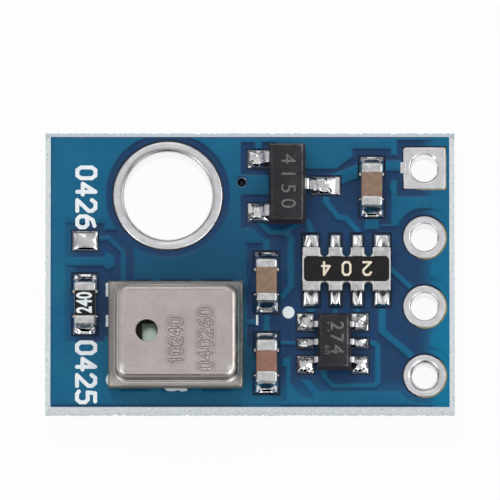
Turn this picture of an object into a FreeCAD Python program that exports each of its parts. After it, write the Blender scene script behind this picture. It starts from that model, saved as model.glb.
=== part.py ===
import FreeCAD, Part
import math
import os

os.makedirs("parts", exist_ok=True)
Vector = FreeCAD.Vector

# Layers of the board, in millimetres like every size here
core_thickness = 1.48
foil = 0.035
tin = 0.025
mask_cover = 0.020
ink_thickness = 0.015
score_run = 0.205
score_depth = 0.45
mask_gap = 0.06
copper_gap = 0.26
edge_gap = 0.05

# Plated holes
barrel_wall = 0.05
header_count = 4
header_pitch = 2.54
header_pad_radius = 0.775
header_first_pad = 1.50
header_hole_radius = 0.50
ring_radius = 2.00
ring_hole_radius = 1.60
via_radius = 0.20
via_hole_radius = 0.16

# Chip capacitors and the chip resistor
chip_length = 1.60
chip_width = 0.80
chip_end = 0.36
end_skin = 0.025
capacitor_height = 0.80
resistor_height = 0.45
coat_thickness = 0.035
chip_land_heel = 0.02
chip_land_toe = 0.32
chip_land_margin = 0.05

# Four-way resistor array
array_ways = 4
array_way_length = 0.80
array_way_gap = 0.38
array_width = 1.60
array_height = 0.50
array_end = 0.35
array_notch_margin = 0.03
array_land_toe = 0.54
array_coat_corner = 0.12
array_coat_margin = 0.05

# Three-lead regulator
regulator_width = 1.35
regulator_length = 2.95
regulator_height = 1.10
regulator_span = 2.40
regulator_lead_width = 0.40
regulator_lead_spacing = 1.96
regulator_land_length = 0.77
regulator_land_heel = 0.02
regulator_long_land_length = 1.03
regulator_long_land_gap = 0.225
regulator_land_width = 0.65

# Six-lead dual transistor
transistor_width = 1.22
transistor_length = 2.08
transistor_height = 0.90
transistor_span = 2.10
transistor_lead_width = 0.22
transistor_lead_spacing = 0.65
transistor_land_length = 0.60
transistor_land_span = 1.98
transistor_land_shift_left = 0.05
transistor_land_width = 0.36
transistor_outer_land_width = 0.62

# Moulded bodies and bent leads
body_lift = 0.06
mould_draft_width = 0.11
lead_thickness = 0.12
lead_foot = 0.24
lead_grip = 0.18
chip_die_height = 0.15
cushion_height = 0.14
cushion_taper_width = 0.10

# Sensor
sensor_length = 4.90
sensor_width = 3.90
sensor_height = 1.60
carrier_thickness = 0.35
contact_thickness = 0.04
contact_length = 0.60
contact_width = 0.50
contact_gap = 0.90
contact_inset = 0.20
paste_thickness = 0.05
can_wall = 0.12
flange_inset = 0.03
lid_length = 4.37
lid_width = 3.38
lid_corner = 0.50
lid_round = 0.21
vent_radius = 0.40
vent_offset = 1.05
sensing_chip_size = 1.10
signal_chip_length = 1.40
signal_chip_width = 1.80
sensor_chip_height = 0.35
sensing_chip_shift_right = 0.37
sensing_chip_shift_down = 0.20
sensor_chip_gap = 0.45
bond_count = 5
bond_gap = 0.14
bond_radius = 0.02
bond_inset = 0.10

# Ink marks
label_height = 0.66
label_spacing = 0.60
label_stroke = 0.14
code_height = 0.46
code_stroke = 0.08
array_code_spacing = 0.75
small_code_height = 0.38
small_code_spacing = 0.29
small_code_stroke = 0.05
pin_dot_radius = 0.22

# Gaps from the left edge to the right edge
left_margin = 1.065
sensor_gap = 0.45
capacitor_gap = 0.45
array_gap = 0.91
header_gap = 0.465
right_margin = 0.34
ring_shift_left = 0.29
via_gap = 0.49
regulator_gap = 1.65
first_capacitor_gap = 0.745
transistor_shift_left = 0.45

# Gaps from the upper edge to the lower edge
upper_margin = 0.36
ring_gap = 1.19
via_shift_up = 0.48
lower_margin = 0.87
regulator_margin = 0.525
regulator_to_array = 0.835
array_to_transistor = 0.84
regulator_to_capacitor = 1.275
capacitor_to_capacitor = 1.36
first_capacitor_margin = 1.25
label_margin = 1.33
address_land_width = 0.70
address_land_gap = 0.075
address_to_resistor = 1.18
second_label_gap = 0.60

# Board size and heights, from the values above
array_length = array_ways * array_way_length
chip_land_width = chip_width + 2 * chip_land_margin
board_length = (left_margin + 2 * chip_width + sensor_gap + sensor_length + capacitor_gap + array_gap
                + array_length + header_gap + 2 * header_pad_radius + right_margin)
board_width = upper_margin + 2 * ring_radius + ring_gap + sensor_width + lower_margin
left_edge = -board_length / 2
right_edge = board_length / 2
lower_edge = -board_width / 2
upper_edge = board_width / 2
core_bottom = foil + tin
core_top = core_bottom + core_thickness
seat = core_top + foil + tin
mask_top = core_top + foil + mask_cover
mask_bottom = core_bottom - foil - mask_cover

# Places of the pieces
column_x = left_edge + left_margin + chip_width / 2
sensor_x = column_x + chip_width / 2 + sensor_gap + sensor_length / 2
capacitor_x = sensor_x + sensor_length / 2 + capacitor_gap + chip_width / 2
array_x = capacitor_x + chip_width / 2 + array_gap + array_length / 2
header_x = array_x + array_length / 2 + header_gap + header_pad_radius
sensor_y = lower_edge + lower_margin + sensor_width / 2
ring_x = sensor_x - ring_shift_left
ring_y = sensor_y + sensor_width / 2 + ring_gap + ring_radius
via_x = ring_x + ring_radius + via_gap + via_radius
via_y = ring_y + via_shift_up
regulator_x = via_x + regulator_gap
regulator_y = upper_edge - regulator_margin - regulator_length / 2
array_y = regulator_y - regulator_length / 2 - regulator_to_array - array_width / 2
transistor_x = array_x - transistor_shift_left
transistor_y = array_y - array_width / 2 - array_to_transistor - transistor_length / 2
first_capacitor_x = header_x - header_pad_radius - first_capacitor_gap - chip_width / 2
first_capacitor_y = upper_edge - first_capacitor_margin - chip_length / 2
second_capacitor_y = regulator_y - regulator_length / 2 - regulator_to_capacitor - chip_length / 2
third_capacitor_y = second_capacitor_y - chip_length - capacitor_to_capacitor
label_length = 3 * label_spacing + 0.6 * label_height
first_label_y = upper_edge - label_margin
address_y = first_label_y - label_length - label_stroke / 2 - address_land_gap - address_land_width / 2
resistor_y = address_y - address_land_width / 2 - address_to_resistor - chip_length / 2
second_label_y = resistor_y - chip_length / 2 - second_label_gap
header_ys = [header_pitch * ((header_count - 1) / 2 - n) for n in range(header_count)]
capacitor_places = [
    (first_capacitor_x, first_capacitor_y),
    (capacitor_x, second_capacitor_y),
    (capacitor_x, third_capacitor_y),
]

# Strokes of the plain digits, in a cell 0.6 wide and 1 high
digit_strokes = {
    "0": [(0.15, 0), (0.45, 0), (0.6, 0.2), (0.6, 0.8), (0.45, 1), (0.15, 1), (0, 0.8), (0, 0.2), (0.15, 0)],
    "2": [(0, 0.8), (0.15, 1), (0.45, 1), (0.6, 0.82), (0.6, 0.62), (0, 0), (0.6, 0)],
    "4": [(0.45, 0), (0.45, 1), (0, 0.3), (0.6, 0.3)],
    "5": [(0, 0.1), (0.15, 0), (0.45, 0), (0.6, 0.18), (0.6, 0.45), (0.45, 0.6), (0.05, 0.58), (0.1, 1),
          (0.55, 1)],
    "6": [(0.52, 0.95), (0.2, 0.85), (0, 0.5), (0, 0.15), (0.15, 0), (0.45, 0), (0.6, 0.15), (0.6, 0.42),
          (0.45, 0.57), (0.02, 0.52)],
}

pieces = {}


def box(x, y, z, length, width, height):
    return Part.makeBox(length, width, height, Vector(x - length / 2, y - width / 2, z))


def post(x, y, z, radius, height):
    return Part.makeCylinder(radius, height, Vector(x, y, z))


def prism(points, z, height):
    corners = [Vector(x, y, z) for x, y in points]
    return Part.Face(Part.makePolygon(corners + corners[:1])).extrude(Vector(0, 0, height))


def joined(shapes):
    if len(shapes) == 1:
        return shapes[0]
    return shapes[0].multiFuse(shapes[1:]).removeSplitter()


def without(shape, tools):
    return shape.cut(Part.makeCompound(tools)) if tools else shape


def solids_of(shapes):
    return Part.makeCompound([solid for shape in shapes for solid in shape.Solids])


def rectangle(x, y, z, length, width):
    left, right = x - length / 2, x + length / 2
    low, high = y - width / 2, y + width / 2
    corners = [Vector(left, low, z), Vector(right, low, z), Vector(right, high, z), Vector(left, high, z)]
    return Part.makePolygon(corners + corners[:1])


def stacked(x, y, sections):
    wires = [rectangle(x, y, z, length, width) for z, length, width in sections]
    return Part.makeLoft(wires, True, True)


def track(points, width, z, height):
    spans = [post(x, y, z, width / 2, height) for x, y in points]
    for (x1, y1), (x2, y2) in zip(points, points[1:]):
        reach = math.hypot(x2 - x1, y2 - y1)
        side_x = (y1 - y2) / reach * width / 2
        side_y = (x2 - x1) / reach * width / 2
        corners = [
            (x1 + side_x, y1 + side_y),
            (x1 - side_x, y1 - side_y),
            (x2 - side_x, y2 - side_y),
            (x2 + side_x, y2 + side_y),
        ]
        spans.append(prism(corners, z, height))
    return joined(spans)


# A line of digits starts at its first corner and runs along one direction, with the tops towards another
def digits(text, start, along, up, height, step, stroke, z):
    marks = []
    for place, character in enumerate(text):
        points = []
        for run, rise in digit_strokes[character]:
            ahead = place * step + run * height
            above = rise * height
            points.append((start[0] + along[0] * ahead + up[0] * above,
                           start[1] + along[1] * ahead + up[1] * above))
        marks.append(track(points, stroke, z, ink_thickness))
    return marks


# Lands: centre, length along X and width along Y
def chip_lands(x, y):
    near = chip_length / 2 - chip_end - chip_land_heel
    far = chip_length / 2 + chip_land_toe
    return [(x, y + side * (near + far) / 2, chip_land_width, far - near) for side in (1, -1)]


# Offset and width of each way's terminals: neighbours keep one gap, and the outer ones reach the block's ends
def array_columns():
    columns = []
    for way in range(array_ways):
        left = -array_length / 2 + way * array_way_length
        right = left + array_way_length
        left += array_way_gap / 2 if way > 0 else 0
        right -= array_way_gap / 2 if way < array_ways - 1 else 0
        columns.append(((left + right) / 2, right - left))
    return columns


def array_lands():
    start = array_width / 2 - array_end
    reach = array_end + array_land_toe
    middle = start + reach / 2
    return [(array_x + offset, array_y + side * middle, width, reach)
            for side in (1, -1) for offset, width in array_columns()]


def regulator_leads():
    return [(-1, regulator_lead_spacing / 2), (-1, -regulator_lead_spacing / 2), (1, 0)]


def regulator_lands():
    left_x = regulator_x - regulator_width / 2 + regulator_land_heel - regulator_land_length / 2
    right_x = regulator_x + regulator_width / 2 + regulator_long_land_gap + regulator_long_land_length / 2
    lands = []
    for side, offset in regulator_leads():
        length = regulator_long_land_length if side > 0 else regulator_land_length
        x = right_x if side > 0 else left_x
        lands.append((x, regulator_y + offset, length, regulator_land_width))
    return lands


def transistor_leads():
    return [(side, row * transistor_lead_spacing) for side in (-1, 1) for row in (1, 0, -1)]


def transistor_lands():
    middle_x = transistor_x - transistor_land_shift_left
    lands = []
    for side, offset in transistor_leads():
        width = transistor_outer_land_width if offset else transistor_land_width
        spread = (width - transistor_land_width) / 2 * (1 if offset > 0 else -1) if offset else 0.0
        x = middle_x + side * transistor_land_span / 2
        lands.append((x, transistor_y + offset + spread, transistor_land_length, width))
    return lands


def sensor_lands():
    row = sensor_width / 2 - contact_inset - contact_width / 2
    step = contact_length + contact_gap
    return [(sensor_x + place * step, sensor_y + side * row, contact_length, contact_width)
            for side in (1, -1) for place in (-1, 0, 1)]


address_land = (column_x, address_y, chip_land_width, address_land_width)


def grown(land, gap, z, height):
    x, y, length, width = land
    return box(x, y, z, length + 2 * gap, width + 2 * gap, height)


def all_lands():
    lands = regulator_lands() + array_lands() + transistor_lands() + sensor_lands() + [address_land]
    for x, y in capacitor_places + [(column_x, resistor_y)]:
        lands += chip_lands(x, y)
    return lands


# The board has a ridge half way up each edge, where the scored panel was snapped
def make_core():
    sections = [
        (core_bottom, board_length - 2 * score_run, board_width - 2 * score_run),
        (core_bottom + score_depth, board_length, board_width),
        (core_top - score_depth, board_length, board_width),
        (core_top, board_length - 2 * score_run, board_width - 2 * score_run),
    ]
    core = stacked(0, 0, sections)
    drills = [post(header_x, y, 0, header_hole_radius + barrel_wall, seat) for y in header_ys]
    drills.append(post(ring_x, ring_y, 0, ring_hole_radius + barrel_wall, seat))
    drills.append(post(via_x, via_y, 0, via_radius, seat))
    pieces["laminate"] = without(core, drills)


# A plated hole: a land on each face and a barrel between them, tinned all over
def plated_hole(x, y, upper_land, lower_radius, hole_radius):
    lower_land = post(x, y, 0, lower_radius, core_bottom)
    barrel = post(x, y, 0, hole_radius + barrel_wall, seat)
    whole = joined([lower_land, barrel, upper_land])
    return without(whole, [post(x, y, -tin, hole_radius, seat + 2 * tin)])


def header_land(number, gap, z, height):
    y = header_ys[number]
    if number == 0:
        side = header_first_pad + 2 * gap
        return box(header_x, y, z, side, side, height)
    return post(header_x, y, z, header_pad_radius + gap, height)


def make_plated_holes():
    land_height = seat - core_top
    for number, y in enumerate(header_ys):
        upper = header_land(number, 0, core_top, land_height)
        hole = plated_hole(header_x, y, upper, header_pad_radius, header_hole_radius)
        pieces["header_pad_" + str(number + 1)] = hole
    upper = post(ring_x, ring_y, core_top, ring_radius, land_height)
    pieces["fixing_hole_plating"] = plated_hole(ring_x, ring_y, upper, ring_radius, ring_hole_radius)
    barrel = post(via_x, via_y, core_bottom - foil, via_radius, core_thickness + 2 * foil)
    pieces["via_plating"] = without(barrel, [post(via_x, via_y, 0, via_hole_radius, seat)])


# The stretch of bare board between the sensor and the header, clockwise from beside the regulator
def bare_zone():
    arm_x = transistor_x - 1.02
    arm_y = transistor_y - 1.20
    strip_y = lower_edge + 0.54
    strip_x = header_x + 0.20
    return [
        (regulator_x - 1.60, regulator_y - 0.36),
        (regulator_x - 0.08, regulator_y - 0.36),
        (regulator_x + 0.71, regulator_y + 0.57),
        (regulator_x + 1.78, regulator_y + 0.57),
        (first_capacitor_x - 0.68, first_capacitor_y + 1.10),
        (first_capacitor_x - 0.68, first_capacitor_y + 1.32),
        (first_capacitor_x + 0.60, first_capacitor_y + 1.32),
        (first_capacitor_x + 0.60, first_capacitor_y + 1.14),
        (header_x - header_first_pad / 2 - 0.18, first_capacitor_y + 1.14),
        (header_x - header_first_pad / 2 - 0.18, header_ys[0] + 0.95),
        (right_edge, header_ys[0] + 0.95),
        (right_edge, header_ys[0] - 1.05),
        (header_x - 0.96, header_ys[0] - 1.05),
        (header_x - 0.96, first_capacitor_y + 0.26),
        (first_capacitor_x + 0.64, first_capacitor_y + 0.26),
        (first_capacitor_x + 0.64, first_capacitor_y - 1.18),
        (first_capacitor_x - 0.12, first_capacitor_y - 1.18),
        (first_capacitor_x - 0.12, first_capacitor_y - 1.51),
        (strip_x, first_capacitor_y - 1.51),
        (strip_x, lower_edge + 0.78),
        (arm_x + 0.49, lower_edge + 0.78),
        (arm_x, arm_y),
        (arm_x - 0.20, arm_y - 0.18),
        (arm_x + 0.25, strip_y),
        (arm_x - 0.09, strip_y),
        (capacitor_x + 0.86, third_capacitor_y - 0.74),
        (capacitor_x + 0.86, third_capacitor_y + 0.22),
        (capacitor_x + 0.56, third_capacitor_y + 0.22),
        (capacitor_x + 0.56, third_capacitor_y - 1.21),
        (capacitor_x - 0.64, third_capacitor_y - 1.21),
        (capacitor_x - 0.64, second_capacitor_y - 1.64),
        (capacitor_x - 0.34, second_capacitor_y - 1.64),
        (capacitor_x - 0.34, second_capacitor_y - 1.15),
        (capacitor_x - 0.64, second_capacitor_y - 1.15),
        (capacitor_x - 0.64, second_capacitor_y + 1.41),
        (capacitor_x - 0.07, second_capacitor_y + 1.41),
        (capacitor_x - 0.07, second_capacitor_y + 1.57),
        (capacitor_x - 0.53, second_capacitor_y + 2.03),
        (regulator_x - 1.60, regulator_y - 1.52),
    ]


# The bare stretch about the address lands, with a finger of copper reaching in between them
def address_zone():
    right_x = ring_x - 1.23
    finger_x = column_x + 0.69
    tip_x = column_x + 1.05
    return [
        (column_x - 0.66, address_y + 0.59),
        (finger_x, address_y + 0.59),
        (finger_x, address_y + 0.37),
        (right_x, address_y + 0.37),
        (right_x, resistor_y - 1.21),
        (column_x - 0.66, resistor_y - 1.21),
        (column_x - 0.66, address_y - 1.00),
        (finger_x, address_y - 1.00),
        (column_x + 0.87, address_y - 1.11),
        (tip_x, address_y - 0.95),
        (tip_x, address_y - 0.56),
        (finger_x, address_y - 0.39),
        (finger_x, address_y - 0.51),
        (column_x - 0.66, address_y - 0.51),
    ]


# Spokes that tie a land to the pour across its gap: start, end and width
def pour_spokes():
    upper_left = regulator_lands()[0]
    first_lower = chip_lands(*capacitor_places[0])[1]
    second_upper = chip_lands(*capacitor_places[1])[0]
    third_lower = chip_lands(*capacitor_places[2])[1]
    reach = copper_gap + 0.2
    ends = [
        (upper_left, 1, 0.25),
        (first_lower, -1, 0.5),
        (second_upper, 1, 0.25),
        (third_lower, -1, 0.5),
    ]
    spokes = []
    for (x, y, length, width), side, spoke_width in ends:
        near = y + side * width / 2
        spokes.append(box(x, near + side * reach / 2, core_top, spoke_width, reach, foil))
    return spokes


def make_copper():
    flat_length = board_length - 2 * (score_run + edge_gap)
    flat_width = board_width - 2 * (score_run + edge_gap)
    pour = box(0, 0, core_top, flat_length, flat_width, foil)
    gaps = [prism(bare_zone(), core_top, foil), prism(address_zone(), core_top, foil)]
    gaps.append(post(ring_x, ring_y, core_top, ring_radius + copper_gap, foil))
    gaps.append(post(via_x, via_y, core_top, via_radius, foil))
    gaps += [header_land(number, copper_gap, core_top, foil) for number in range(header_count)]
    gaps += [grown(land, copper_gap, core_top, foil) for land in all_lands()]
    lands = [grown(land, 0, core_top, foil) for land in all_lands()]
    lands += [header_land(number, 0, core_top, foil) for number in range(header_count)]
    spokes = [pour.common(spoke) for spoke in pour_spokes()]
    pour = without(joined([without(pour, gaps)] + spokes), lands)
    pieces["copper_pour_top"] = solids_of([pour])

    tracks = [track(points, width, core_top, foil) for points, width in track_routes()]
    tracks = without(joined(tracks), lands + [pour])
    pieces["copper_tracks_top"] = solids_of([tracks])

    under = box(0, 0, core_bottom - foil, flat_length, flat_width, foil)
    gaps = [post(header_x, y, 0, header_pad_radius + copper_gap, core_bottom) for y in header_ys]
    gaps.append(post(ring_x, ring_y, 0, ring_radius + copper_gap, core_bottom))
    gaps.append(post(via_x, via_y, 0, via_radius, core_bottom))
    pieces["copper_pour_bottom"] = without(under, gaps)


# Tracks from land to land, each a list of points and a width
def track_routes():
    regulator = regulator_lands()
    upper = array_lands()[:4]
    lower = array_lands()[4:]
    transistor = transistor_lands()
    first_upper = chip_lands(*capacitor_places[0])[0]
    second_lower = chip_lands(*capacitor_places[1])[1]
    third_upper = chip_lands(*capacitor_places[2])[0]
    corner_x = regulator_x + 0.14
    bend_y = regulator_y - 1.72
    upper_row = array_y + array_width / 2 + array_land_toe
    lower_row = array_y - array_width / 2 - array_land_toe
    side_x = transistor_x + 1.58
    under_y = transistor_y - 1.57
    return [
        ([(regulator[1][0], regulator[1][1]), (regulator[1][0], regulator_y - 1.3),
          (regulator_x - 0.62, bend_y), (regulator_x - 0.05, bend_y), (corner_x, bend_y - 0.22),
          (corner_x, second_capacitor_y - 0.15), (corner_x - 0.29, second_capacitor_y - 0.5),
          (second_lower[0], second_lower[1])], 0.25),
        ([(regulator_x - 0.05, bend_y), (regulator_x + 0.45, regulator_y - 1.36),
          (upper[0][0] - 0.1, regulator_y - 1.36), (upper[0][0], upper_row + 0.1), upper[0][:2]], 0.22),
        ([(regulator[2][0], regulator[2][1]), (regulator[2][0], regulator_y - 0.62),
          (regulator_x + 1.88, regulator_y - 1.19), (regulator_x + 2.14, regulator_y - 1.21),
          (upper[2][0], upper_row + 0.1), upper[2][:2]], 0.23),
        ([(regulator[2][0], regulator[2][1] + 0.05), first_upper[:2]], 0.5),
        ([first_upper[:2], (header_x, first_upper[1])], 0.4),
        ([(lower[3][0] - 0.15, array_y + 0.35), (array_x + 1.65, array_y),
          (header_x, header_ys[2] + 0.2)], 0.2),
        ([lower[3][:2], (lower[3][0], lower_row - 0.9), (header_x, header_ys[3] + 0.3)], 0.27),
        ([transistor[4][:2], (side_x - 0.12, transistor_y), (side_x, transistor_y - 0.13),
          (side_x, under_y + 0.12), (side_x - 0.12, under_y), (transistor_x - 0.04, under_y),
          (transistor_x - 0.34, under_y + 0.30), (transistor_x - 0.42, transistor_y - 0.6)], 0.2),
        ([second_lower[:2], third_upper[:2]], 0.21),
        ([third_upper[:2], (capacitor_x + 0.6, transistor_y), transistor[1][:2]], 0.15),
        ([lower[0][:2], (lower[0][0], transistor[0][1]), transistor[0][:2]], 0.2),
        ([lower[1][:2], (lower[1][0], transistor_y + 0.9)], 0.16),
        ([lower[2][:2], (lower[2][0], transistor[3][1]), transistor[3][:2]], 0.2),
        ([address_land[:2], (column_x + 0.85, address_y + 0.1), (ring_x - 1.62, address_y - 0.45),
          (ring_x - 1.62, sensor_y + sensor_width / 2 - 0.5)], 0.18),
    ]


def make_masks():
    flat_length = board_length - 2 * score_run
    flat_width = board_width - 2 * score_run
    thickness = foil + mask_cover
    upper = box(0, 0, core_top, flat_length, flat_width, thickness)
    openings = [grown(land, mask_gap, core_top, thickness) for land in all_lands()]
    openings += [header_land(number, mask_gap, core_top, thickness) for number in range(header_count)]
    openings.append(post(ring_x, ring_y, core_top, ring_radius + mask_gap, thickness))
    openings.append(post(via_x, via_y, core_top, via_radius, thickness))
    copper = [pieces["copper_pour_top"], pieces["copper_tracks_top"]]
    pieces["solder_mask_top"] = without(without(upper, openings), copper)

    lower = box(0, 0, mask_bottom, flat_length, flat_width, thickness)
    openings = [post(header_x, y, 0, header_pad_radius + mask_gap, core_bottom) for y in header_ys]
    openings.append(post(ring_x, ring_y, 0, ring_radius + mask_gap, core_bottom))
    openings.append(post(via_x, via_y, 0, via_radius, core_bottom))
    pieces["solder_mask_bottom"] = without(without(lower, openings), [pieces["copper_pour_bottom"]])


def make_lands():
    pieces["soldering_lands"] = solids_of([grown(land, 0, core_top, seat - core_top) for land in all_lands()])


def make_ink():
    down, right = (0, -1), (1, 0)
    start_x = column_x + 0.04 - label_height / 2
    marks = []
    for text, start_y in (("0426", first_label_y), ("0425", second_label_y)):
        start = (start_x, start_y)
        marks += digits(text, start, down, right, label_height, label_spacing, label_stroke, mask_top)
    marks.append(post(transistor_x - 1.66, transistor_y + 1.14, mask_top, pin_dot_radius, ink_thickness))
    sensor_left = sensor_x - sensor_length / 2
    for offset, width in ((1.68, 0.5), (0.32, 0.42), (-1.62, 0.42)):
        marks.append(box(sensor_left, sensor_y + offset, mask_top, 0.26, width, ink_thickness))
    marks.append(box(sensor_x, sensor_y - sensor_width / 2, mask_top, 0.8, 0.2, ink_thickness))
    marks.append(box(capacitor_x - 0.34, second_capacitor_y - 1.38, mask_top, 0.08, 0.37, ink_thickness))
    pieces["silkscreen_top"] = solids_of(marks)


# A fillet of solder from a chip's end face down to the end of its land, hollow like a fillet
def end_fillet(x, face_y, side, width, reach, height):
    foot = Vector(x - width / 2, face_y, seat)
    toe = Vector(x - width / 2, face_y + side * reach, seat)
    crest = Vector(x - width / 2, face_y, seat + height)
    middle = Vector(x - width / 2, face_y + side * reach * 0.32, seat + height * 0.36)
    edges = [Part.makeLine(foot, toe), Part.Arc(toe, middle, crest).toShape(), Part.makeLine(crest, foot)]
    return Part.Face(Part.Wire(edges)).extrude(Vector(width, 0, 0))


def chip_solder(x, y, height):
    return solids_of([end_fillet(x, y + side * chip_length / 2, side, chip_land_width, chip_land_toe, height)
                      for side in (1, -1)])


# A ceramic block with a metal cap over each end; the caps wrap the sides too, or only the top and underside
def chip(x, y, height, wrapped):
    side_skin = end_skin if wrapped else 0.0
    ceramic = box(x, y, seat + end_skin, chip_width - 2 * side_skin, chip_length - 2 * end_skin,
                  height - 2 * end_skin)
    caps = []
    for side in (1, -1):
        middle = y + side * (chip_length - chip_end) / 2
        cap = box(x, middle, seat, chip_width, chip_end, height)
        caps.append(without(cap, [ceramic]))
    return ceramic, solids_of(caps)


def make_capacitors():
    for number, (x, y) in enumerate(capacitor_places):
        name = "capacitor_" + str(number + 1)
        ceramic, caps = chip(x, y, capacitor_height, True)
        pieces[name + "_ceramic"] = ceramic
        pieces[name + "_ends"] = caps
        pieces[name + "_solder"] = chip_solder(x, y, capacitor_height * 0.6)


def make_address_resistor():
    ceramic, caps = chip(column_x, resistor_y, resistor_height, False)
    coat_length = chip_length - 2 * chip_end
    coat_z = seat + resistor_height - end_skin
    coat = box(column_x, resistor_y, coat_z, chip_width * 0.96, coat_length, coat_thickness)
    top = coat_z + coat_thickness
    text_length = 2 * small_code_spacing + 0.6 * small_code_height
    start = (column_x + small_code_height / 2, resistor_y - text_length / 2)
    up, left = (0, 1), (-1, 0)
    marks = digits("240", start, up, left, small_code_height, small_code_spacing, small_code_stroke, top)
    pieces["address_resistor_ceramic"] = ceramic
    pieces["address_resistor_ends"] = caps
    pieces["address_resistor_coat"] = coat
    pieces["address_resistor_code"] = solids_of(marks)
    pieces["address_resistor_solder"] = chip_solder(column_x, resistor_y, resistor_height * 0.7)
    slope = 3 * cushion_taper_width
    pieces["address_land_solder"] = stacked(column_x, address_y, [
        (seat, chip_land_width, address_land_width),
        (seat + cushion_height, chip_land_width - slope, address_land_width - slope),
    ])


def make_array():
    inner_width = array_width - 2 * end_skin
    ceramic = box(array_x, array_y, seat + end_skin, array_length, inner_width, array_height - 2 * end_skin)
    notch_radius = array_way_gap / 2 - array_notch_margin
    left = array_x - array_length / 2
    notches = []
    for way in range(1, array_ways):
        x = left + way * array_way_length
        for side in (1, -1):
            edge_y = array_y + side * array_width / 2
            slot = [(x, edge_y), (x, edge_y - side * (array_end - notch_radius))]
            notches.append(track(slot, 2 * notch_radius, seat, array_height))
    ceramic = without(ceramic, notches)
    ends = []
    fillets = []
    for offset, width in array_columns():
        for side in (1, -1):
            middle = array_y + side * (array_width - array_end) / 2
            end = box(array_x + offset, middle, seat, width, array_end, array_height)
            ends.append(without(end, [ceramic] + notches))
            fillets.append(end_fillet(array_x + offset, array_y + side * array_width / 2, side, width,
                                      array_land_toe, array_height * 0.6))
    coat_z = seat + array_height - end_skin
    coat_length = array_length - 2 * array_coat_margin
    coat = box(array_x, array_y, coat_z, coat_length, array_width - 2 * array_end, coat_thickness)
    coat = coat.makeFillet(array_coat_corner, [edge for edge in coat.Edges if is_upright(edge)])
    top = coat_z + coat_thickness
    text_length = 2 * array_code_spacing + 0.6 * code_height
    start = (array_x + text_length / 2, array_y + code_height / 2)
    marks = digits("204", start, (-1, 0), (0, -1), code_height, array_code_spacing, code_stroke, top)
    pieces["array_ceramic"] = ceramic
    pieces["array_ends"] = solids_of(ends)
    pieces["array_coat"] = coat
    pieces["array_code"] = solids_of(marks)
    pieces["array_solder"] = solids_of(fillets)


def is_upright(edge):
    direction = edge.tangentAt(edge.FirstParameter)
    return abs(direction.z) > 0.99


# A lead leaves the body at its parting line, bends down and ends in a flat foot on its land
def bent_lead(x, y, side, body_width, span, width, parting):
    inner = body_width / 2 - lead_grip
    knee = body_width / 2 + lead_thickness * 0.4
    tip = span / 2
    heel = tip - lead_foot
    shift = lead_thickness * 0.6
    low = parting - lead_thickness / 2
    profile = [
        (inner, low),
        (knee, low),
        (heel, seat),
        (tip, seat),
        (tip, seat + lead_thickness),
        (heel + shift, seat + lead_thickness),
        (knee + shift, low + lead_thickness),
        (inner, low + lead_thickness),
    ]
    corners = [Vector(x + side * run, y - width / 2, rise) for run, rise in profile]
    return Part.Face(Part.makePolygon(corners + corners[:1])).extrude(Vector(0, width, 0))


def moulded_body(x, y, width, length, height, inner_pieces):
    bottom = seat + body_lift
    parting = (bottom + seat + height) / 2
    body = stacked(x, y, [
        (bottom, width - 2 * mould_draft_width, length - 2 * mould_draft_width),
        (parting, width, length),
        (seat + height, width - 2 * mould_draft_width, length - 2 * mould_draft_width),
    ])
    return without(body, inner_pieces)


# Solder about a foot: a cushion on the land, cut back to the lead's own faces
def foot_cushion(land, lead):
    x, y, length, width = land
    cushion = stacked(x, y, [
        (seat, length, width),
        (seat + cushion_height, length - 2 * cushion_taper_width, width - 2 * cushion_taper_width),
    ])
    return without(cushion, [lead])


def make_leaded(name, x, y, width, length, height, span, lead_width, lead_places, lands, die_sizes):
    parting = (seat + body_lift + seat + height) / 2
    leads = [bent_lead(x, y + offset, side, width, span, lead_width, parting) for side, offset in lead_places]
    dies = [box(x, y + offset, parting, die_length, die_width, chip_die_height)
            for offset, die_length, die_width in die_sizes]
    for number, lead in enumerate(leads):
        pieces[name + "_lead_" + str(number + 1)] = lead
    pieces[name + "_body"] = moulded_body(x, y, width, length, height, leads + dies)
    pieces[name + "_die"] = solids_of(dies)
    pieces[name + "_solder"] = solids_of([foot_cushion(land, lead) for land, lead in zip(lands, leads)])


def make_sensor():
    lands = sensor_lands()
    paste_top = seat + paste_thickness
    carrier_bottom = paste_top + contact_thickness
    carrier_top = carrier_bottom + carrier_thickness
    pieces["sensor_solder"] = solids_of([grown(land, 0, seat, paste_thickness) for land in lands])
    pieces["sensor_contacts"] = solids_of([grown(land, 0, paste_top, contact_thickness) for land in lands])
    pieces["sensor_carrier"] = box(sensor_x, sensor_y, carrier_bottom, sensor_length, sensor_width,
                                   carrier_thickness)
    pieces["sensor_can"] = sensor_can(carrier_top)

    vent_x = sensor_x - vent_offset
    sensing_x = vent_x + sensing_chip_shift_right
    sensing_y = sensor_y - sensing_chip_shift_down
    signal_x = sensing_x + sensing_chip_size / 2 + sensor_chip_gap + signal_chip_length / 2
    pieces["sensing_chip"] = box(sensing_x, sensing_y, carrier_top, sensing_chip_size, sensing_chip_size,
                                 sensor_chip_height)
    pieces["signal_chip"] = box(signal_x, sensor_y, carrier_top, signal_chip_length, signal_chip_width,
                                sensor_chip_height)
    start_x = sensing_x + sensing_chip_size / 2 - bond_inset
    end_x = signal_x - signal_chip_length / 2 + bond_inset
    wires = []
    for number in range(bond_count):
        y = sensing_y + (number - (bond_count - 1) / 2) * (2 * bond_radius + bond_gap)
        wires.append(bond_wire(start_x, end_x, y, carrier_top + sensor_chip_height))
    pieces["bond_wires"] = solids_of(wires)


def bond_wire(start_x, end_x, y, z):
    half = (end_x - start_x) / 2
    middle = Vector((start_x + end_x) / 2, y, z + half)
    arc = Part.Arc(Vector(start_x, y, z), middle, Vector(end_x, y, z)).toShape()
    ring = Part.makeCircle(bond_radius, Vector(start_x, y, z))
    return Part.Wire([arc]).makePipeShell([Part.Wire([ring])], True, True)


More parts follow.
